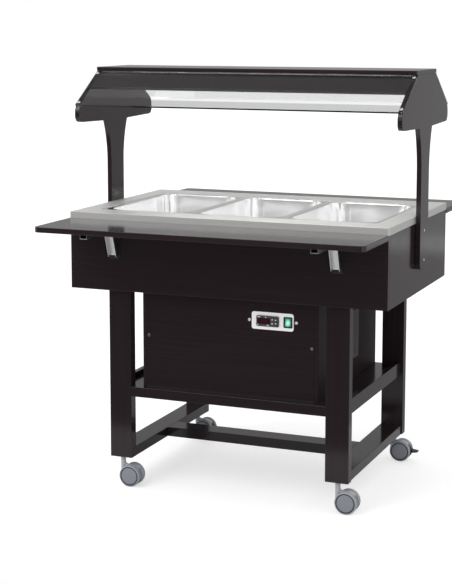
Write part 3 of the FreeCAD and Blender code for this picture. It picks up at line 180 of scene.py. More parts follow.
bpy.ops.object.select_all(action="DESELECT")
bpy.ops.object.light_add(type="AREA", location=KEY_PLACE)
lamp = bpy.context.object
lamp.name = "key_lamp"
lamp.data.size = KEY_SIZE
lamp.data.energy = KEY_POWER
lamp.rotation_euler = (Vector(KEY_AIM) - Vector(KEY_PLACE)).to_track_quat("-Z", "Y").to_euler()
bpy.context.scene.view_settings.view_transform = "Standard"
print("lamp", KEY_POWER, "W,", KEY_SIZE, "m wide")

# %% [markdown]
# Every finish is a small node tree on Object coordinates, so its pattern stays at its real scale in
# metres. Pictures could be wrapped on instead, but each piece would first have to be unwrapped. Grain,
# brushing and moulded texture are all noise, pulled out along one direction or left even, so one helper
# makes the shader and others hang a noise on it.

# %% Finish helpers
def new_finish(name, color, roughness, metallic=0.0):
    made = bpy.data.materials.new(name)
    made.use_nodes = True
    shader = made.node_tree.nodes["Principled BSDF"]
    shader.inputs["Base Color"].default_value = (*color, 1)
    shader.inputs["Roughness"].default_value = roughness
    shader.inputs["Metallic"].default_value = metallic
    return made, shader


def even(cells):
    return (cells, cells, cells)


def noise_on(made, stretch, detail=4.0):
    """Noise on Object coordinates; stretch is its scale along X, Y and Z, in cells a metre."""
    tree = made.node_tree
    place = tree.nodes.new("ShaderNodeTexCoord")
    mapping = tree.nodes.new("ShaderNodeMapping")
    mapping.inputs["Scale"].default_value = stretch
    noise = tree.nodes.new("ShaderNodeTexNoise")
    noise.inputs["Scale"].default_value = 1.0
    noise.inputs["Detail"].default_value = detail
    tree.links.new(place.outputs["Object"], mapping.inputs["Vector"])
    tree.links.new(mapping.outputs["Vector"], noise.inputs["Vector"])
    return noise


def vary_color(made, shader, noise, dark, light, low=0.3, high=0.7):
    ramp = made.node_tree.nodes.new("ShaderNodeValToRGB")
    ramp.color_ramp.elements[0].position = low
    ramp.color_ramp.elements[0].color = (*dark, 1)
    ramp.color_ramp.elements[1].position = high
    ramp.color_ramp.elements[1].color = (*light, 1)
    made.node_tree.links.new(noise.outputs["Fac"], ramp.inputs["Fac"])
    made.node_tree.links.new(ramp.outputs["Color"], shader.inputs["Base Color"])


def vary_roughness(made, shader, noise, low, high):
    span = made.node_tree.nodes.new("ShaderNodeMapRange")
    span.inputs["To Min"].default_value = low
    span.inputs["To Max"].default_value = high
    made.node_tree.links.new(noise.outputs["Fac"], span.inputs["Value"])
    made.node_tree.links.new(span.outputs["Result"], shader.inputs["Roughness"])


def add_bump(made, shader, noise, depth, strength):
    bump = made.node_tree.nodes.new("ShaderNodeBump")
    bump.inputs["Distance"].default_value = depth
    bump.inputs["Strength"].default_value = strength
    made.node_tree.links.new(noise.outputs["Fac"], bump.inputs["Height"])
    made.node_tree.links.new(bump.outputs["Normal"], shader.inputs["Normal"])


print("finish helpers defined")

# %% [markdown]
# The boards are stained almost black and lacquered. Under the lacquer a very faint open grain runs along
# each board. One grain for all would run across some of them, so there is one finish for each direction.
# The smooth coat gives the mirror-like sheen, and only the cabinet's shell is matt.

# %% Lacquered wood
GRAIN_ALONG = 3.0
GRAIN_ACROSS = 190.0
GRAIN_DEPTH = 0.00001
HAZE_CELLS = 9.0
WOOD_DARK = (0.0172, 0.0115, 0.0131)
WOOD_LIGHT = (0.0220, 0.0147, 0.0165)
LACQUER_IOR = 1.45
LACQUER_GLOSS = (0.09, 0.17)
MATT_GLOSS = (0.40, 0.52)
MATT_SHEEN = 0.12


def lacquered_wood(name, axis, gloss):
    made, shader = new_finish(name, WOOD_DARK, 0.2)
    stretch = [GRAIN_ALONG if way == axis else GRAIN_ACROSS for way in "xyz"]
    grain = noise_on(made, stretch, 5.0)
    vary_color(made, shader, grain, WOOD_DARK, WOOD_LIGHT, 0.35, 0.72)
    haze = noise_on(made, even(HAZE_CELLS), 3.0)
    vary_roughness(made, shader, haze, *gloss)
    add_bump(made, shader, grain, GRAIN_DEPTH, 0.25)
    shader.inputs["IOR"].default_value = LACQUER_IOR
    return made


wood_along = {axis: lacquered_wood("lacquered_wood_" + axis, axis, LACQUER_GLOSS) for axis in "xyz"}
shell_wood = lacquered_wood("matt_cabinet_wood", "x", MATT_GLOSS)
shell_wood.node_tree.nodes["Principled BSDF"].inputs["Specular IOR Level"].default_value = MATT_SHEEN
print("woods", [made.name for made in wood_along.values()], shell_wood.name)

# %% [markdown]
# The deck is brushed along its length: fine streaks change its gloss from line to line. The pans are
# drawn and polished, so their steel is brighter and smoother, with a soft cloudiness from use. Zinc has a
# coarse spangle. Scratches could be cut into the mesh, but they are far finer than its faces, so noise on
# the gloss shows them.

# %% Steels
BRUSH_STREAKS = (6.0, 900.0, 900.0)
BRUSH_DEPTH = 0.00001
SPANGLE_CELLS = 120.0
SPANGLE_DEPTH = 0.00004
PAN_CLOUDS = 28.0
METAL_CLOUDS = 200.0


def brushed_steel():
    made, shader = new_finish("brushed_steel", (0.70, 0.70, 0.685), 0.5, 1.0)
    streaks = noise_on(made, BRUSH_STREAKS, 3.0)
    vary_roughness(made, shader, streaks, 0.44, 0.60)
    add_bump(made, shader, streaks, BRUSH_DEPTH, 0.4)
    return made


def polished_pan_steel():
    made, shader = new_finish("polished_pan_steel", (0.985, 0.985, 0.99), 0.18, 1.0)
    clouds = noise_on(made, even(PAN_CLOUDS))
    vary_roughness(made, shader, clouds, 0.14, 0.20)
    return made


def zinc_plate(name, color):
    made, shader = new_finish(name, color, 0.3, 1.0)
    spangle = noise_on(made, even(SPANGLE_CELLS), 5.0)
    vary_roughness(made, shader, spangle, 0.22, 0.42)
    add_bump(made, shader, spangle, SPANGLE_DEPTH, 0.3)
    return made


def polished_metal(name, color, low, high):
    made, shader = new_finish(name, color, low, 1.0)
    clouds = noise_on(made, even(METAL_CLOUDS), 3.0)
    vary_roughness(made, shader, clouds, low, high)
    return made


deck_steel = brushed_steel()
pan_steel = polished_pan_steel()
bracket_zinc = zinc_plate("bracket_zinc", (0.56, 0.56, 0.56))
stem_zinc = zinc_plate("stem_zinc", (0.62, 0.63, 0.65))
bright_chrome = polished_metal("bright_chrome", (0.82, 0.83, 0.84), 0.06, 0.14)
bare_fins = polished_metal("bare_fins", (0.72, 0.72, 0.72), 0.3, 0.45)
drawn_copper = polished_metal("drawn_copper", (0.72, 0.36, 0.22), 0.2, 0.35)
satin_plate = polished_metal("satin_plate", (0.86, 0.86, 0.87), 0.3, 0.42)
bright_nickel = polished_metal("bright_nickel", (0.98, 0.97, 0.96), 0.62, 0.74)
dull_zinc = zinc_plate("dull_zinc", (0.34, 0.31, 0.30))
print(len(bpy.data.materials), "finishes up to the metals")

# %% [markdown]
# The casters, the controls and the foam of the well are moulded. Their mould leaves a fine, even pebble,
# which shows as a slight softening of the gloss. Sprayed paint dries with a coarser skin, like orange
# peel. Both are an even noise with a shallow bump, only at another scale.

# %% Plastics and paints
PEBBLE_CELLS = 1400.0
PEBBLE_DEPTH = 0.00003
SKIN_CELLS = 420.0
SKIN_DEPTH = 0.00004
SKIN_SPREAD = 0.08


def moulded(name, color, roughness, shade=0.85):
    made, shader = new_finish(name, color, roughness)
    pebble = noise_on(made, even(PEBBLE_CELLS), 2.0)
    vary_color(made, shader, pebble, [shade * part for part in color], color)
    add_bump(made, shader, pebble, PEBBLE_DEPTH, 0.35)
    return made


def sprayed(name, color, roughness):
    made, shader = new_finish(name, color, roughness)
    skin = noise_on(made, even(SKIN_CELLS), 3.0)
    vary_roughness(made, shader, skin, roughness - SKIN_SPREAD, roughness + SKIN_SPREAD)
    add_bump(made, shader, skin, SKIN_DEPTH, 0.3)
    return made


black_plastic = moulded("black_plastic", (0.016, 0.016, 0.018), 0.42)
case_plastic = moulded("case_plastic", (0.060, 0.060, 0.064), 0.34)
key_plastic = moulded("key_plastic", (0.030, 0.030, 0.033), 0.5)
hood_plastic = moulded("hood_plastic", (0.44, 0.455, 0.48), 0.42, 0.94)
wheel_plastic = moulded("wheel_plastic", (0.34, 0.352, 0.385), 0.36, 0.94)
cap_plastic = moulded("cap_plastic", (0.245, 0.257, 0.288), 0.34, 0.94)
ring_rubber = moulded("ring_rubber", (0.030, 0.036, 0.055), 0.55)
foam_block = moulded("foam_block", (0.78, 0.72, 0.52), 0.9)
white_print = moulded("white_print", (0.96, 0.96, 0.96), 0.6, 0.95)
black_paint = sprayed("black_paint", (0.016, 0.016, 0.017), 0.4)
vent_paint = sprayed("vent_paint", (0.075, 0.070, 0.072), 0.40)
white_paint = sprayed("white_paint", (0.80, 0.80, 0.78), 0.4)
plate_white = sprayed("plate_white", (0.93, 0.91, 0.93), 0.4)
print(len(bpy.data.materials), "finishes up to the paints")

# %% [markdown]
# The canopy's panes are clear glass. The lamp tube, the display and the rocker shine by themselves: a
# lamp could be put behind each lens, but an emission on its surface is quieter to render. The rocker's
# little lamp sits behind its middle, so its glow falls off from there.

# %% Glass and lenses
GLASS_IOR = 1.45
GLASS_SHEEN = 0.15
LENS_CELLS = 260.0
ROCKER_MIDDLE = (0.210, -0.318, 0.611)
ROCKER_REACH = (0.0105, 0.02, 0.0135)
ROCKER_GLOW = 0.8


def clear_glass(name, tint, roughness):
    made, shader = new_finish(name, tint, roughness)
    shader.inputs["Transmission Weight"].default_value = 1.0
    shader.inputs["IOR"].default_value = GLASS_IOR
    shader.inputs["Specular IOR Level"].default_value = GLASS_SHEEN
    return made


def lit_lens(name, color, glow, strength):
    made, shader = new_finish(name, color, 0.18)
    depth = noise_on(made, even(LENS_CELLS), 2.0)
    vary_color(made, shader, depth, [0.7 * part for part in color], color)
    shader.inputs["Emission Color"].default_value = (*glow, 1)
    shader.inputs["Emission Strength"].default_value = strength
    return made


def glowing_rocker(name):
    """A green lens with a lamp behind its middle: the glow falls off with the distance from it."""
    made, shader = new_finish(name, (0.02, 0.30, 0.16), 0.16)
    tree = made.node_tree
    place = tree.nodes.new("ShaderNodeTexCoord")
    mapping = tree.nodes.new("ShaderNodeMapping")
    mapping.vector_type = "TEXTURE"
    mapping.inputs["Location"].default_value = ROCKER_MIDDLE
    mapping.inputs["Scale"].default_value = ROCKER_REACH
    halo = tree.nodes.new("ShaderNodeTexGradient")
    halo.gradient_type = "SPHERICAL"
    ramp = tree.nodes.new("ShaderNodeValToRGB")
    ramp.color_ramp.elements[0].color = (0.004, 0.10, 0.055, 1)
    ramp.color_ramp.elements[1].color = (0.55, 0.95, 0.78, 1)
    ramp.color_ramp.elements[1].position = 0.75
    tree.links.new(place.outputs["Object"], mapping.inputs["Vector"])
    tree.links.new(mapping.outputs["Vector"], halo.inputs["Vector"])
    tree.links.new(halo.outputs["Fac"], ramp.inputs["Fac"])
    tree.links.new(ramp.outputs["Color"], shader.inputs["Emission Color"])
    shader.inputs["Emission Strength"].default_value = ROCKER_GLOW
    return made


pane_glass = clear_glass("pane_glass", (0.985, 0.990, 0.990), 0.0)
tube_glass = lit_lens("tube_glass", (0.86, 0.86, 0.84), (1.0, 0.98, 0.95), 16.0)
display_lens = lit_lens("display_lens", (0.024, 0.008, 0.011), (0.5, 0.03, 0.05), 0.012)
digit_red = lit_lens("digit_red", (0.10, 0.010, 0.014), (0.6, 0.02, 0.03), 0.03)
green_lens = glowing_rocker("green_lens")
print(len(bpy.data.materials), "finishes up to the lenses")

# %% [markdown]
# Each CAD node takes the finish of its material slot, and each board the wood whose grain runs along it.
# Nodes that no finer piece stands for, such as the machine in the cabinet, keep this finish.

# %% Finishes of the CAD nodes
finish_of_slot = {
    "stainless": deck_steel,
    "foam": foam_block,
    "copper": drawn_copper,
    "black_metal": black_paint,
    "black_plastic": black_plastic,
    "plate_metal": satin_plate,
    "display": display_lens,
    "fins": bare_fins,
    "clear_glass": pane_glass,
    "white_metal": white_paint,
    "lamp_glass": tube_glass,
    "bracket_metal": bracket_zinc,
    "zinc": stem_zinc,
    "chrome": bright_chrome,
    "green_lens": green_lens,
    "key_plastic": key_plastic,
    "grey_plastic": hood_plastic,
    "wheel_plastic": wheel_plastic,
}
upright_boards = (
    "left_front_leg", "left_rear_leg", "right_front_leg", "right_rear_leg", "left_gable", "right_gable",
)
cross_boards = ("side_aprons", "foot_rails", "shelf_side_rails")


def wood_of(node):
    if node == "cabinet_shell":
        return shell_wood
    if node in upright_boards:
        return wood_along["z"]
    return wood_along["y" if node in cross_boards else "x"]


def finish_of(node):
    slot = slot_of_node[node]
    return wood_of(node) if slot == "dark_wood" else finish_of_slot[slot]


for name, part in nodes.items():
    part.data.materials.clear()
    part.data.materials.append(finish_of(name))
print("finished", len(nodes), "CAD nodes")

# %% [markdown]
# Every piece made below rides with a body and takes a finish, and a finer copy also hides the CAD node
# whose place it takes. That could be written out at each piece, but two helpers keep them all alike.

# %% Dressing helpers
def trim_on(piece, node, finish):
    """A piece takes the given finish and rides with the node's body."""
    piece.data.materials.clear()
    piece.data.materials.append(finish)
    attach(piece, body_of_node[node])
    return piece


def place_of(piece, node, finish=None):
    """A finished piece that also stands for the node, by default in the node's own finish."""
    trim_on(piece, node, finish or finish_of(node))
    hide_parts(node)
    return piece


print("dressing helpers defined")

# %% [markdown]
# Real boards have no knife edge: each arris is eased by a millimetre or two, and that thin round catches
# the light. The boards could be drawn anew as bevelled blocks, but a copy keeps every hole and notch. It
# has its loose triangles merged back into whole faces, gets a bevel on its hard edges, and takes the CAD
# board's place. Weighted normals keep the wide faces flat beside the small rounds.

# %% Easing helpers
FLAT_ANGLE = math.radians(1.0)
HARD_ANGLE = math.radians(32)
SMOOTH_ANGLE = math.radians(46)
CAD_MERGE = 0.00001


def make_active(piece):
    bpy.ops.object.select_all(action="DESELECT")
    piece.select_set(True)
    bpy.context.view_layer.objects.active = piece


def apply_modifier(piece, kind, **settings):
    modifier = piece.modifiers.new(kind.lower(), kind)
    for key, value in settings.items():
        setattr(modifier, key, value)
    bpy.ops.object.modifier_apply(modifier=modifier.name)


def keep_flats():
    """Shades the active piece so that its flat faces stay flat beside its rounds."""
    bpy.ops.object.shade_smooth_by_angle(angle=SMOOTH_ANGLE)
    apply_modifier(bpy.context.object, "WEIGHTED_NORMAL", weight=50, keep_sharp=True)


def soften(piece, width):
    """Rounds the hard edges."""
    make_active(piece)
    apply_modifier(piece, "BEVEL", width=width, segments=3, limit_method="ANGLE", angle_limit=HARD_ANGLE)
    keep_flats()


def copy_of(node, name):
    """A copy of a CAD node as its own piece, merged into whole faces and made the active object."""
    piece = bpy.data.objects.new(name, nodes[node].data.copy())
    bpy.context.scene.collection.objects.link(piece)
    make_active(piece)
    bpy.ops.object.mode_set(mode="EDIT")
    bpy.ops.mesh.select_all(action="SELECT")
    bpy.ops.mesh.remove_doubles(threshold=CAD_MERGE)
    bpy.ops.mesh.dissolve_limited(angle_limit=FLAT_ANGLE)
    bpy.ops.object.mode_set(mode="OBJECT")
    return piece


def eased(node, edge, name=None, finish=None):
    piece = copy_of(node, name or "eased_" + node)
    soften(piece, edge)
    return place_of(piece, node, finish)


print("easing helpers defined, edges over", round(math.degrees(HARD_ANGLE)), "degrees are hard")

# %% [markdown]
# All boards of the cart are planed alike, so one width of easing serves them all. Each could have its
# own, but such small differences would not show.

# %% Eased boards
BOARD_EDGE = 0.0014

wood_nodes = [name for name, slot in slot_of_node.items() if slot == "dark_wood"]
boards = [eased(name, BOARD_EDGE) for name in wood_nodes]
print("eased", len(boards), "boards")

# %% [markdown]
# Pressed and moulded pieces are eased in the same way, only less: half a millimetre or so on the steel
# channels and on the small plastic parts, which is what a press tool or a mould leaves. The wall plates
# take the near-black paint, which also stands in for the struts' shadow on the apron beside them, so that
# black is partly painted shadow.

# %% Eased metal and plastic
eased_sizes = {
    "front_arms": 0.0004,
    "rear_arms": 0.0004,
    "front_struts": 0.0004,
    "rear_struts": 0.0004,
    "switch_bezel": 0.0005,
    "switch_rocker": 0.0004,
    "key_set": 0.0004,
    "key_defrost": 0.0004,
    "key_up": 0.0004,
    "key_down": 0.0004,
    "glass_panes": 0.0007,
    "lamp_holder": 0.0010,
    "lamp_tube": 0.0015,
    "power_inlet": 0.0004,
    "rear_left_pedal": 0.0010,
    "rear_right_pedal": 0.0010,
    "front_left_hood": 0.0012,
    "front_right_hood": 0.0012,
    "rear_left_hood": 0.0012,
    "rear_right_hood": 0.0012,
    "caster_stems": 0.0006,
}
WALL_PLATE_EDGE = 0.0004

pressed = [eased(name, edge) for name, edge in eased_sizes.items()]
# The near-black on the wall plates is partly painted shadow: it stands in for the struts' shade beside
# them.
pressed.append(eased("bracket_plates", WALL_PLATE_EDGE, finish=black_paint))
print("eased", len(pressed), "metal and plastic pieces")

# %% [markdown]
# Sheet and turned shapes are drawn as a row of rings, the way a press draws a pan step by step. A ring is
# a plane whose corners are rounded by a vertex bevel and whose face is taken out. Two rings are bridged
# where the corner changes, and a ring is pulled on and resized where the wall only tapers. A sculpted or
# subdivided block could give the same shapes, but not with exact sizes.

# %% Ring helpers
CORNER_STEPS = 8
SEAM_MERGE = 0.000005
SAME_PLACE = 0.00002


def begin(name):
    """A fresh object at the origin, empty and in edit mode."""
    bpy.ops.object.select_all(action="DESELECT")
    bpy.ops.mesh.primitive_plane_add(size=1)
    piece = bpy.context.object
    piece.name = name
    piece.data.name = name
    bpy.ops.object.mode_set(mode="EDIT")
    bpy.ops.mesh.select_all(action="SELECT")
    bpy.ops.mesh.delete(type="VERT")
    return piece


def rounded_ring(half_x, half_y, radius, place):
    """In edit mode: adds one open ring with rounded corners, and leaves it alone selected."""
    bpy.ops.mesh.select_all(action="DESELECT")
    bpy.ops.mesh.primitive_plane_add(size=2, location=place)
    bpy.ops.transform.resize(value=(half_x, half_y, 1), center_override=place)
    bpy.ops.mesh.bevel(offset_type="ABSOLUTE", offset=radius, segments=CORNER_STEPS, affect="VERTICES")
    bpy.ops.mesh.delete(type="ONLY_FACE")


def add_block(size, place):
    """In edit mode: adds one block, and leaves it alone selected."""
    bpy.ops.mesh.select_all(action="DESELECT")
    bpy.ops.mesh.primitive_cube_add(size=1, location=place)
    bpy.ops.transform.resize(value=size, center_override=place)


def pick(test):
    """In edit mode: selects only the vertices whose place passes the test."""
    bpy.ops.mesh.select_all(action="DESELECT")
    bpy.ops.object.mode_set(mode="OBJECT")
    for vertex in bpy.context.object.data.vertices:
        vertex.select = test(vertex.co)
    bpy.ops.object.mode_set(mode="EDIT")


def pull(way, resize=None, about=(0, 0, 0)):
    """In edit mode: extrudes the selected ring and resizes its new end."""
    bpy.ops.mesh.extrude_edges_move(TRANSFORM_OT_translate={"value": way})
    if resize:
        bpy.ops.transform.resize(value=resize, center_override=about)


def close_edit():
    """Merges seams, turns the faces to one side and leaves edit mode."""
    bpy.ops.mesh.select_all(action="SELECT")
    bpy.ops.mesh.remove_doubles(threshold=SEAM_MERGE)
    bpy.ops.mesh.normals_make_consistent(inside=False)
    bpy.ops.object.mode_set(mode="OBJECT")


def near(value, target):
    return abs(value - target) < SAME_PLACE


print("ring helpers defined,", CORNER_STEPS, "steps to a corner")

# %% [markdown]
# The deck is one sheet: a flat rim, a skirt folded down outside, a shallow recess that the pans' rims lie
# in, and an opening whose edge is turned down. A block could be cut out instead, but bridged rings give a
# skin that takes the sheet's real thickness. Only the wide corners of the opening differ from the rim's
# small ones.

# %% Deck
DECK_HALF = (0.560, 0.365)
DECK_CORNER = 0.003
DECK_TOP = 0.946
DECK_SHEET = 0.0015
DECK_EDGE = 0.0006
SKIRT = 0.024
OUTLINE_BAND = 0.004
RECESS_HALF = (0.495, 0.268)
RECESS_CORNER = 0.016
RECESS_DEEP = 0.003
OPENING_HALF = (0.480, 0.253)
OPENING_CORNER = 0.064
OPENING_BAND = 0.001
BAR_X = 0.164
BAR_SIZE = (0.022, 0.506, 0.012)


def on_outline(co):
    return abs(co.x) > DECK_HALF[0] - OUTLINE_BAND or abs(co.y) > DECK_HALF[1] - OUTLINE_BAND


def in_opening(co):
    return abs(co.x) < OPENING_HALF[0] + OPENING_BAND and abs(co.y) < OPENING_HALF[1] + OPENING_BAND


def make_deck():
    deck = begin("steel_deck")
    seat = DECK_TOP - RECESS_DEEP
    rounded_ring(*DECK_HALF, DECK_CORNER, (0, 0, DECK_TOP))
    rounded_ring(*RECESS_HALF, RECESS_CORNER, (0, 0, DECK_TOP))
    bpy.ops.mesh.select_all(action="SELECT")
    bpy.ops.mesh.bridge_edge_loops()
    pick(on_outline)
    pull((0, 0, -SKIRT))
    rounded_ring(*RECESS_HALF, RECESS_CORNER, (0, 0, seat))
    rounded_ring(*OPENING_HALF, OPENING_CORNER, (0, 0, seat))
    pick(lambda co: near(co.z, seat))
    bpy.ops.mesh.bridge_edge_loops()
    pick(lambda co: near(co.z, seat) and not in_opening(co))
    pull((0, 0, RECESS_DEEP))
    pick(lambda co: near(co.z, seat) and in_opening(co))
    pull((0, 0, -2 * DECK_SHEET))
    close_edit()
    apply_modifier(deck, "SOLIDIFY", thickness=DECK_SHEET, offset=-1)
    bpy.ops.object.mode_set(mode="EDIT")
    for side in (-1, 1):
        add_block(BAR_SIZE, (side * BAR_X, 0, seat - BAR_SIZE[2] / 2))
    bpy.ops.object.mode_set(mode="OBJECT")
    soften(deck, DECK_EDGE)
    return place_of(deck, "top_deck")


deck = make_deck()
print("deck", len(deck.data.polygons), "faces")

# %% [markdown]
# A food pan is drawn from one sheet: flat rim, rounded lip, slightly tapered walls, and a floor that
# meets them in a wide round. A bevelled box would have the same corner all the way down, so the pan is
# pulled down ring by ring. One is modelled at the middle of the well and copied to the left and the
# right.

# %% Food pans
PAN_RIM_HALF = (0.1625, 0.265)
PAN_RIM_CORNER = 0.016
PAN_TOP = 0.9442
PAN_MOUTH_HALF = (0.1515, 0.2515)
PAN_MOUTH_CORNER = 0.0655
PAN_MOUTH_BAND = 0.0005
PAN_WALL = ((0.0008, 0.0004), (0.0018, 0.0014), (0.0022, 0.0034), (0.0082, 0.0824))
PAN_FLOOR_R = 0.018
PAN_FLOOR_STEPS = 5
PAN_SHEET = 0.0012
PAN_PITCH = 0.328


def in_mouth(co):
    return all(abs(at) < half + PAN_MOUTH_BAND for at, half in zip(co, PAN_MOUTH_HALF))


def pan_steps():
    """Inset and depth of each ring below the mouth: the lip, the wall and the round at the floor."""
    steps = list(PAN_WALL)
    inset, deep = steps[-1]
    for step in range(1, PAN_FLOOR_STEPS + 1):
        turn = math.radians(90 * step / PAN_FLOOR_STEPS)
        steps.append((inset + PAN_FLOOR_R * (1 - math.cos(turn)), deep + PAN_FLOOR_R * math.sin(turn)))
    return steps


def make_pan():
    pan = begin("food_pan_middle")
    rounded_ring(*PAN_RIM_HALF, PAN_RIM_CORNER, (0, 0, PAN_TOP))
    rounded_ring(*PAN_MOUTH_HALF, PAN_MOUTH_CORNER, (0, 0, PAN_TOP))
    bpy.ops.mesh.select_all(action="SELECT")
    bpy.ops.mesh.bridge_edge_loops()
    pick(in_mouth)
    half = PAN_MOUTH_HALF
    before = 0.0
    for inset, deep in pan_steps():
        smaller = (PAN_MOUTH_HALF[0] - inset, PAN_MOUTH_HALF[1] - inset)
        pull((0, 0, before - deep), (smaller[0] / half[0], smaller[1] / half[1], 1))
        half = smaller
        before = deep
    bpy.ops.mesh.edge_face_add()
    close_edit()
    apply_modifier(pan, "SOLIDIFY", thickness=PAN_SHEET, offset=-1)
    keep_flats()
    return pan


def copied(piece, name, offset=(0, 0, 0)):
    """A copy with its own mesh, moved to its place."""
    twin = bpy.data.objects.new(name, piece.data.copy())
    bpy.context.scene.collection.objects.link(twin)
    twin.data.transform(Matrix.Translation(offset))
    return twin


pan = make_pan()
place_of(pan, "pan_middle", pan_steel)
for side, x in (("left", -PAN_PITCH), ("right", PAN_PITCH)):
    place_of(copied(pan, "food_pan_" + side, (x, 0, 0)), "pan_" + side, pan_steel)
print("pan", len(pan.data.polygons), "faces")

# %% [markdown]
# Each caster has two capped wheels on one axle. A wheel is turned: a circle is pulled on and resized ring
# by ring, over the tread, the rounded shoulder and the seat in its outer face. A cylinder with bevels
# could not hold that seat. A slightly domed, darker cap sits in it, and a soft ring fills the groove
# around the cap. One pair is modelled under the front right leg and copied to the others.

# %% Wheel shapes
WHEEL_STEPS = 72
WHEEL_PROFILE = (
    (0.0045, 0.0092), (0.0335, 0.0092), (0.0362, 0.0100), (0.0375, 0.0122), (0.0375, 0.0158),
    (0.0369, 0.0162), (0.0369, 0.0174), (0.0375, 0.0178), (0.0375, 0.0222), (0.0370, 0.0246),
    (0.0358, 0.0263), (0.0344, 0.0269), (0.0330, 0.0270), (0.0327, 0.0254), (0.0006, 0.0254),
)
CAP_PROFILE = (
    (0.0006, 0.0253), (0.0288, 0.0253), (0.0288, 0.0262), (0.0284, 0.0268), (0.0273, 0.0271),
    (0.0180, 0.0277), (0.0085, 0.0280), (0.0006, 0.0281),
)
RING_PROFILE = (
    (0.0290, 0.0253), (0.0291, 0.0262), (0.0308, 0.0265), (0.0325, 0.0262), (0.0326, 0.0253),
    (0.0290, 0.0253),
)


def turned(name, profile, place, closed):
    """A skin turned about a line along Y through the place; profile holds radius and distance along Y."""
    piece = begin(name)
    radius, out = profile[0]
    first_face = "NGON" if closed else "NOTHING"
    bpy.ops.mesh.primitive_circle_add(vertices=WHEEL_STEPS, radius=radius, rotation=(math.pi / 2, 0, 0),
                                      location=(place[0], place[1] + out, place[2]), fill_type=first_face)
    for wider, further in profile[1:]:
        size = wider / radius
        pull((0, further - out, 0), (size, 1, size), (place[0], place[1] + further, place[2]))
        radius = wider
        out = further
    if closed:
        bpy.ops.mesh.edge_face_add()
    close_edit()
    bpy.ops.object.shade_smooth_by_angle(angle=SMOOTH_ANGLE)
    return piece


def mirrored_pair(piece, y):
    """Joins the piece with its mirror image across the plane at y."""
    twin = copied(piece, piece.name + "_twin")
    flip = Matrix.Translation((0, y, 0)) @ Matrix.Diagonal((1, -1, 1, 1)) @ Matrix.Translation((0, -y, 0))
    twin.data.transform(flip)
    twin.data.flip_normals()
    make_active(piece)
    twin.select_set(True)
    bpy.ops.object.join()
    return piece


print("wheel of", len(WHEEL_PROFILE), "rings")

# %% [markdown]
# A caster's wheels run behind its swivel, so the hub lies a little to one side of the leg's middle. Both
# wheels could be turned, but they are mirror images, so one is turned and mirrored, and a short axle
# joins the pair. Caps and rings stay pieces of their own and ride with the wheels.

# %% Wheels
CASTER_AT = {
    "front_left": (-0.388, -0.321),
    "front_right": (0.388, -0.321),
    "rear_left": (-0.388, 0.321),
    "rear_right": (0.388, 0.321),
}
FIRST_CASTER = "front_right"
TRAIL = 0.033
WHEEL_R = 0.0375
AXLE_STEPS = 32
AXLE_R = 0.004
AXLE_LONG = 0.022


def make_wheels(end):
    x, y = CASTER_AT[end]
    hub = (x + TRAIL, y, WHEEL_R)
    wheels = mirrored_pair(turned("wheels_" + end, WHEEL_PROFILE, hub, True), y)
    bpy.ops.object.mode_set(mode="EDIT")
    bpy.ops.mesh.select_all(action="DESELECT")
    bpy.ops.mesh.primitive_cylinder_add(vertices=AXLE_STEPS, radius=AXLE_R, depth=AXLE_LONG,
                                        rotation=(math.pi / 2, 0, 0), location=hub)
    bpy.ops.object.mode_set(mode="OBJECT")
    caps = mirrored_pair(turned("wheel_caps_" + end, CAP_PROFILE, hub, True), y)
    rings = mirrored_pair(turned("groove_rings_" + end, RING_PROFILE, hub, False), y)
    return {"wheels": wheels, "wheel_caps": caps, "groove_rings": rings}


def dress_wheels(end, pieces):
    node = end + "_wheels"
    place_of(pieces["wheels"], node)
    trim_on(pieces["wheel_caps"], node, cap_plastic)
    trim_on(pieces["groove_rings"], node, ring_rubber)


first = make_wheels(FIRST_CASTER)
dress_wheels(FIRST_CASTER, first)
first_x, first_y = CASTER_AT[FIRST_CASTER]
for end, (x, y) in CASTER_AT.items():
    if end != FIRST_CASTER:
        offset = (x - first_x, y - first_y, 0)
        dress_wheels(end, {kind: copied(piece, kind + "_" + end, offset) for kind, piece in first.items()})
print("wheels", len(first["wheels"].data.polygons), "faces a pair")

# %% [markdown]
# The control plate is a white sheet with rounded corners and softened edges. The thermostat sits in it: a
# dark case whose face is sunk around a smoked window. Their CAD shapes are whole already, so copies are
# eased.

# %% Control plate and thermostat
PLATE_EDGE = 0.0008
CASE_EDGE = 0.0007
WINDOW_EDGE = 0.0004

controls = [
    eased("control_plate", PLATE_EDGE, "control_plate_white", plate_white),
    eased("thermostat_case", CASE_EDGE, finish=case_plastic),
    eased("thermostat_window", WINDOW_EDGE),
]
print("controls", [piece.name for piece in controls])

# %% [markdown]
# Display segments and printed marks are thin bars with clipped ends. Print could be painted into the
# finish, but then the mesh would lose it, so each bar is a shape of its own that stands a hair off the
# face. The segments are lit so faintly that they are only a little lighter than the smoked window behind
# them.

# %% Display digits
THERMO_FRONT = -0.320
WINDOW_MIDDLE = (0.127, 0.612)
MARK_RISE = 0.0002
MARK_CLIP = 0.25
SEGMENT = 0.0040
SEGMENT_T = 0.0008
SEGMENT_LONG = SEGMENT - 1.4 * SEGMENT_T
LEVEL_BARS = ((0, 1), (0, 0), (0, -1))
UPRIGHT_BARS = ((-0.5, 0.5), (0.5, 0.5), (-0.5, -0.5), (0.5, -0.5))
DIGIT_PITCH = 0.0085


def add_stroke(x, z, wide, tall, face):
    """In edit mode: one thin printed bar with clipped ends, standing a hair off the face."""
    add_block((wide, MARK_RISE, tall), (x, face - MARK_RISE / 2, z))
    clip = MARK_CLIP * min(wide, tall)
    bpy.ops.mesh.bevel(offset_type="ABSOLUTE", offset=clip, segments=1, affect="VERTICES")


def marks_piece(name, strokes, node, finish):
    piece = begin(name)
    strokes()
    bpy.ops.mesh.select_all(action="SELECT")
    bpy.ops.mesh.normals_make_consistent(inside=False)
    bpy.ops.object.mode_set(mode="OBJECT")
    return trim_on(piece, node, finish)


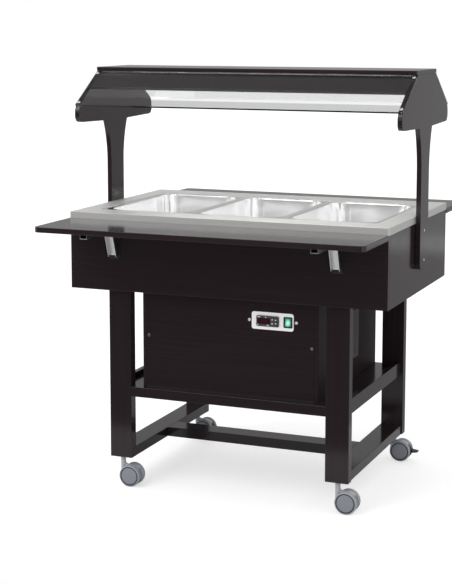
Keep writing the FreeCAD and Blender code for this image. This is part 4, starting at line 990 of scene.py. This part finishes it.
def display_strokes():
    for column in (-1, 0, 1):
        x = WINDOW_MIDDLE[0] + column * DIGIT_PITCH
        z = WINDOW_MIDDLE[1]
        for dx, dz in LEVEL_BARS:
            add_stroke(x + dx * SEGMENT, z + dz * SEGMENT, SEGMENT_LONG, SEGMENT_T, THERMO_FRONT)
        for dx, dz in UPRIGHT_BARS:
            add_stroke(x + dx * SEGMENT, z + dz * SEGMENT, SEGMENT_T, SEGMENT_LONG, THERMO_FRONT)


digits = marks_piece("display_digits", display_strokes, "thermostat_window", digit_red)
print("digits", len(digits.data.polygons), "faces")

# %% [markdown]
# Small white bars are printed on the case around the window. They could be a picture wrapped on its face,
# but bars that have a thickness stay in the mesh, and they are as crisp from near as from far.

# %% Case marks
THERMO_MIDDLE = (0.140, 0.612)
CASE_MARKS = (
    (-0.030, 0.0133, 0.0090, 0.0022),
    (-0.006, 0.0130, 0.0030, 0.0030),
    (-0.034, -0.0130, 0.0030, 0.0030),
    (0.001, -0.0132, 0.0060, 0.0022),
)


def case_strokes():
    for dx, dz, wide, tall in CASE_MARKS:
        add_stroke(THERMO_MIDDLE[0] + dx, THERMO_MIDDLE[1] + dz, wide, tall, THERMO_FRONT)


case_marks = marks_piece("case_marks", case_strokes, "thermostat_case", white_print)
print("case marks", len(case_marks.data.polygons), "faces")

# %% [markdown]
# Each key carries its own mark: a plus, stripes, and arrows that are stacked from four shorter and
# shorter bars. A cut triangle would make a sharper arrow, but at this size the steps don't show. A mark
# rides with its key when it is pressed.

# %% Key marks
KEY_AT = {
    "set": (0.017, 0.0065), "defrost": (0.017, -0.0065), "up": (0.029, 0.0065), "down": (0.029, -0.0065),
}
KEY_RISE = 0.0012
KEY_FACE = THERMO_FRONT - KEY_RISE
ARROW_ROWS = 4
ARROW_STEP = 0.0010
ARROW_WIDE = 0.0056
ARROW_TAPER = 0.0015
ARROW_BAR = 0.0009
PLUS_LONG = 0.0056
PLUS_BAR = 0.0015
PLUS_ARM = 0.0020
PLUS_ARM_AT = 0.0018
STRIPE_PITCH = 0.0020
STRIPE_SIZE = (0.0011, 0.0050)


def arrow_strokes(x, z, way):
    for row in range(ARROW_ROWS):
        up = way * (row - (ARROW_ROWS - 1) / 2) * ARROW_STEP
        add_stroke(x, z + up, ARROW_WIDE - row * ARROW_TAPER, ARROW_BAR, KEY_FACE)


def plus_strokes(x, z):
    add_stroke(x, z, PLUS_LONG, PLUS_BAR, KEY_FACE)
    for way in (1, -1):
        add_stroke(x, z + way * PLUS_ARM_AT, PLUS_BAR, PLUS_ARM, KEY_FACE)


def stripe_strokes(x, z):
    for column in (-1, 0, 1):
        add_stroke(x + column * STRIPE_PITCH, z, *STRIPE_SIZE, KEY_FACE)


def key_strokes(name):
    x = THERMO_MIDDLE[0] + KEY_AT[name][0]
    z = THERMO_MIDDLE[1] + KEY_AT[name][1]
    if name == "set":
        plus_strokes(x, z)
    elif name == "defrost":
        stripe_strokes(x, z)
    else:
        arrow_strokes(x, z, 1 if name == "up" else -1)


key_marks = []
for name in KEY_AT:
    node = "key_" + name
    key_marks.append(marks_piece(node + "_mark", lambda: key_strokes(name), node, white_print))
print("key marks", [piece.name for piece in key_marks])

# %% [markdown]
# Screws have a low round head with a cross recess, and the glass studs a plain domed cap. A cylinder is
# pulled up and drawn in for the dome, and two crossed blocks are cut out of the screw's head. Each kind
# is modelled once, lying on the XY plane, because a dome is easy to draw there.

# %% One screw and one stud
HEAD_STEPS = 40
SHANK_STEPS = 24
SHANK_R = 0.0020
SCREW = {"radius": 0.0050, "thick": 0.0020, "length": 0.012}
STUD = {"radius": 0.0060, "thick": 0.0030, "length": 0.024}
HEAD_WALL = 0.6
DOME_STEPS = ((0.90, 0.22), (0.72, 0.12), (0.40, 0.05))
CROSS_LONG = 1.15
CROSS_WIDE = 0.22


def domed_fastener(name, radius, thick, length):
    """Head up, shank down: a cylinder whose top is lifted and drawn in to a dome."""
    piece = begin(name)
    wall = HEAD_WALL * thick
    bpy.ops.mesh.primitive_cylinder_add(vertices=HEAD_STEPS, radius=radius, depth=wall,
                                        location=(0, 0, wall / 2))
    pick(lambda co: co.z > 0.9 * wall)
    for shrink, lift in DOME_STEPS:
        bpy.ops.mesh.extrude_region_move(TRANSFORM_OT_translate={"value": (0, 0, lift * thick)})
        bpy.ops.transform.resize(value=(shrink, shrink, 1), center_override=(0, 0, thick))
    bpy.ops.mesh.select_all(action="DESELECT")
    bpy.ops.mesh.primitive_cylinder_add(vertices=SHANK_STEPS, radius=SHANK_R, depth=length,
                                        location=(0, 0, -length / 2))
    close_edit()
    return piece


def cut_cross(piece, radius, thick):
    cutter = begin("cross_cutter")
    for size in ((CROSS_LONG * radius, CROSS_WIDE * radius), (CROSS_WIDE * radius, CROSS_LONG * radius)):
        add_block((*size, thick), (0, 0, thick))
    bpy.ops.object.mode_set(mode="OBJECT")
    make_active(piece)
    apply_modifier(piece, "BOOLEAN", operation="DIFFERENCE", object=cutter, solver="EXACT", use_self=True)
    bpy.data.objects.remove(cutter)


screw = domed_fastener("screw_heads", **SCREW)
cut_cross(screw, SCREW["radius"], SCREW["thick"])
stud = domed_fastener("glass_stud", **STUD)
for piece in (screw, stud):
    make_active(piece)
    bpy.ops.object.shade_smooth_by_angle(angle=HARD_ANGLE)
print("screw", len(screw.data.polygons), "faces, stud", len(stud.data.polygons), "faces")

# %% [markdown]
# Each seat is a place and the way the shank is driven: into the gables, into the cabinet's front at its
# ends and beside the control plate, and through the glass, square to the slope that it lies on. The
# slope's seats are worked out from its two ends, so that all eight studs lie on it.

# %% Seats of the screws and studs
GABLE_FACE = 0.576
GABLE_SCREW_Z = (0.795, 0.894)
CABINET_FACE = -0.312
PANEL_SCREW_X = 0.292
PANEL_SCREW_Z = 0.530
PLATE_MIDDLE = (0.156, 0.612)
PLATE_SCREW_DX = 0.082
SLOPE_TOP = Vector((0, -0.108, 1.413))
SLOPE_LOW = Vector((0, -0.290, 1.294))
GLASS_T = 0.006
GLASS_GAP = 0.001
GLASS_END = 0.007
STUD_X = 0.568
STUD_FROM_END = 0.014

gable_seats = []
panel_seats = []
plate_seats = []
for side in (-1, 1):
    for z in GABLE_SCREW_Z:
        gable_seats.append(((side * GABLE_FACE, 0, z), (-side, 0, 0)))
    panel_seats.append(((side * PANEL_SCREW_X, CABINET_FACE, PANEL_SCREW_Z), (0, 1, 0)))
    plate_x = PLATE_MIDDLE[0] + side * PLATE_SCREW_DX
    plate_seats.append(((plate_x, CABINET_FACE, PLATE_MIDDLE[1]), (0, 1, 0)))

slope = (SLOPE_LOW - SLOPE_TOP).normalized()
square = Vector((0, slope.z, -slope.y))
glass_from = GLASS_T * abs(slope.y / slope.z) + GLASS_GAP
glass_last = (SLOPE_LOW - SLOPE_TOP).length - GLASS_END
stud_seats = []
for end in (-1, 1):
    for along in (glass_from + STUD_FROM_END, glass_last - STUD_FROM_END):
        spot = SLOPE_TOP + slope * along + square * GLASS_T
        stud_seats.append(((end * STUD_X, spot.y, spot.z), tuple(-square)))
        stud_seats.append(((end * STUD_X, -spot.y, spot.z), (0, square.y, -square.z)))
print("seats", len(gable_seats + panel_seats + plate_seats), "for screws,", len(stud_seats), "for studs")

# %% [markdown]
# A copy is turned towards the way it is driven and set on each seat. Copies of one finish are joined,
# because they are one kind of hardware: bright on the gables and the glass, dull on the cabinet, nickel
# beside the plate.

# %% Screws and studs
def set_copies(piece, seats):
    """Copies of a fastener on its seats, each turned so that its shank runs the given way."""
    made = []
    for seat, way in seats:
        twin = copied(piece, piece.name + "_copy")
        turn = Vector((0, 0, -1)).rotation_difference(Vector(way)).to_matrix().to_4x4()
        twin.data.transform(Matrix.Translation(seat) @ turn)
        made.append(twin)
    return made


def joined(pieces, name):
    bpy.ops.object.select_all(action="DESELECT")
    for piece in pieces:
        piece.select_set(True)
    bpy.context.view_layer.objects.active = pieces[0]
    bpy.ops.object.join()
    pieces[0].name = name
    return pieces[0]


wall_copies = set_copies(screw, gable_seats) + set_copies(stud, stud_seats)
wall_heads = joined(wall_copies, "gable_screws_and_studs")
place_of(wall_heads, "screws")
trim_on(joined(set_copies(screw, panel_seats), "panel_screws"), "screws", dull_zinc)
trim_on(joined(set_copies(screw, plate_seats), "plate_screws"), "screws", bright_nickel)
bpy.data.objects.remove(stud)
bpy.data.objects.remove(screw)
print("gable screws and studs", len(wall_heads.data.polygons), "faces")

# %% [markdown]
# The vent is a punched sheet. Hundreds of round cutters would be slow and leave poor faces. A grid is
# inset cell by cell instead, the inner faces are taken out, and one subdivision turns the square cells
# into round holes before the sheet gets its thickness.

# %% Vent grille
VENT_X = 0.314
VENT_MIDDLE = (-0.012, 0.508)
VENT_SIZE = (0.256, 0.168)
VENT_BORDER = 0.008
VENT_CELLS = (32, 21)
VENT_INSET = 0.0012
VENT_SHEET = 0.0015


def make_vent():
    field = [size - 2 * VENT_BORDER for size in VENT_SIZE]
    vent = begin("vent_sheet")
    bpy.ops.mesh.primitive_grid_add(x_subdivisions=VENT_CELLS[0], y_subdivisions=VENT_CELLS[1], size=1)
    bpy.ops.transform.resize(value=(*field, 1), center_override=(0, 0, 0))
    bpy.ops.mesh.inset(thickness=VENT_INSET, use_individual=True)
    bpy.ops.mesh.delete(type="FACE")
    pick(lambda co: near(abs(co.x), field[0] / 2) or near(abs(co.y), field[1] / 2))
    pull((0, 0, 0), (VENT_SIZE[0] / field[0], VENT_SIZE[1] / field[1], 1))
    bpy.ops.mesh.select_all(action="SELECT")
    bpy.ops.transform.rotate(value=-math.pi / 2, orient_axis="X", center_override=(0, 0, 0))
    bpy.ops.transform.rotate(value=-math.pi / 2, orient_axis="Z", center_override=(0, 0, 0))
    bpy.ops.transform.translate(value=(VENT_X + VENT_SHEET, *VENT_MIDDLE))
    close_edit()
    apply_modifier(vent, "SUBSURF", levels=1, render_levels=1)
    apply_modifier(vent, "SOLIDIFY", thickness=VENT_SHEET, offset=0)
    bpy.ops.object.shade_smooth_by_angle(angle=HARD_ANGLE)
    return place_of(vent, "vent_grille", vent_paint)


vent = make_vent()
print("vent", len(vent.data.polygons), "faces")
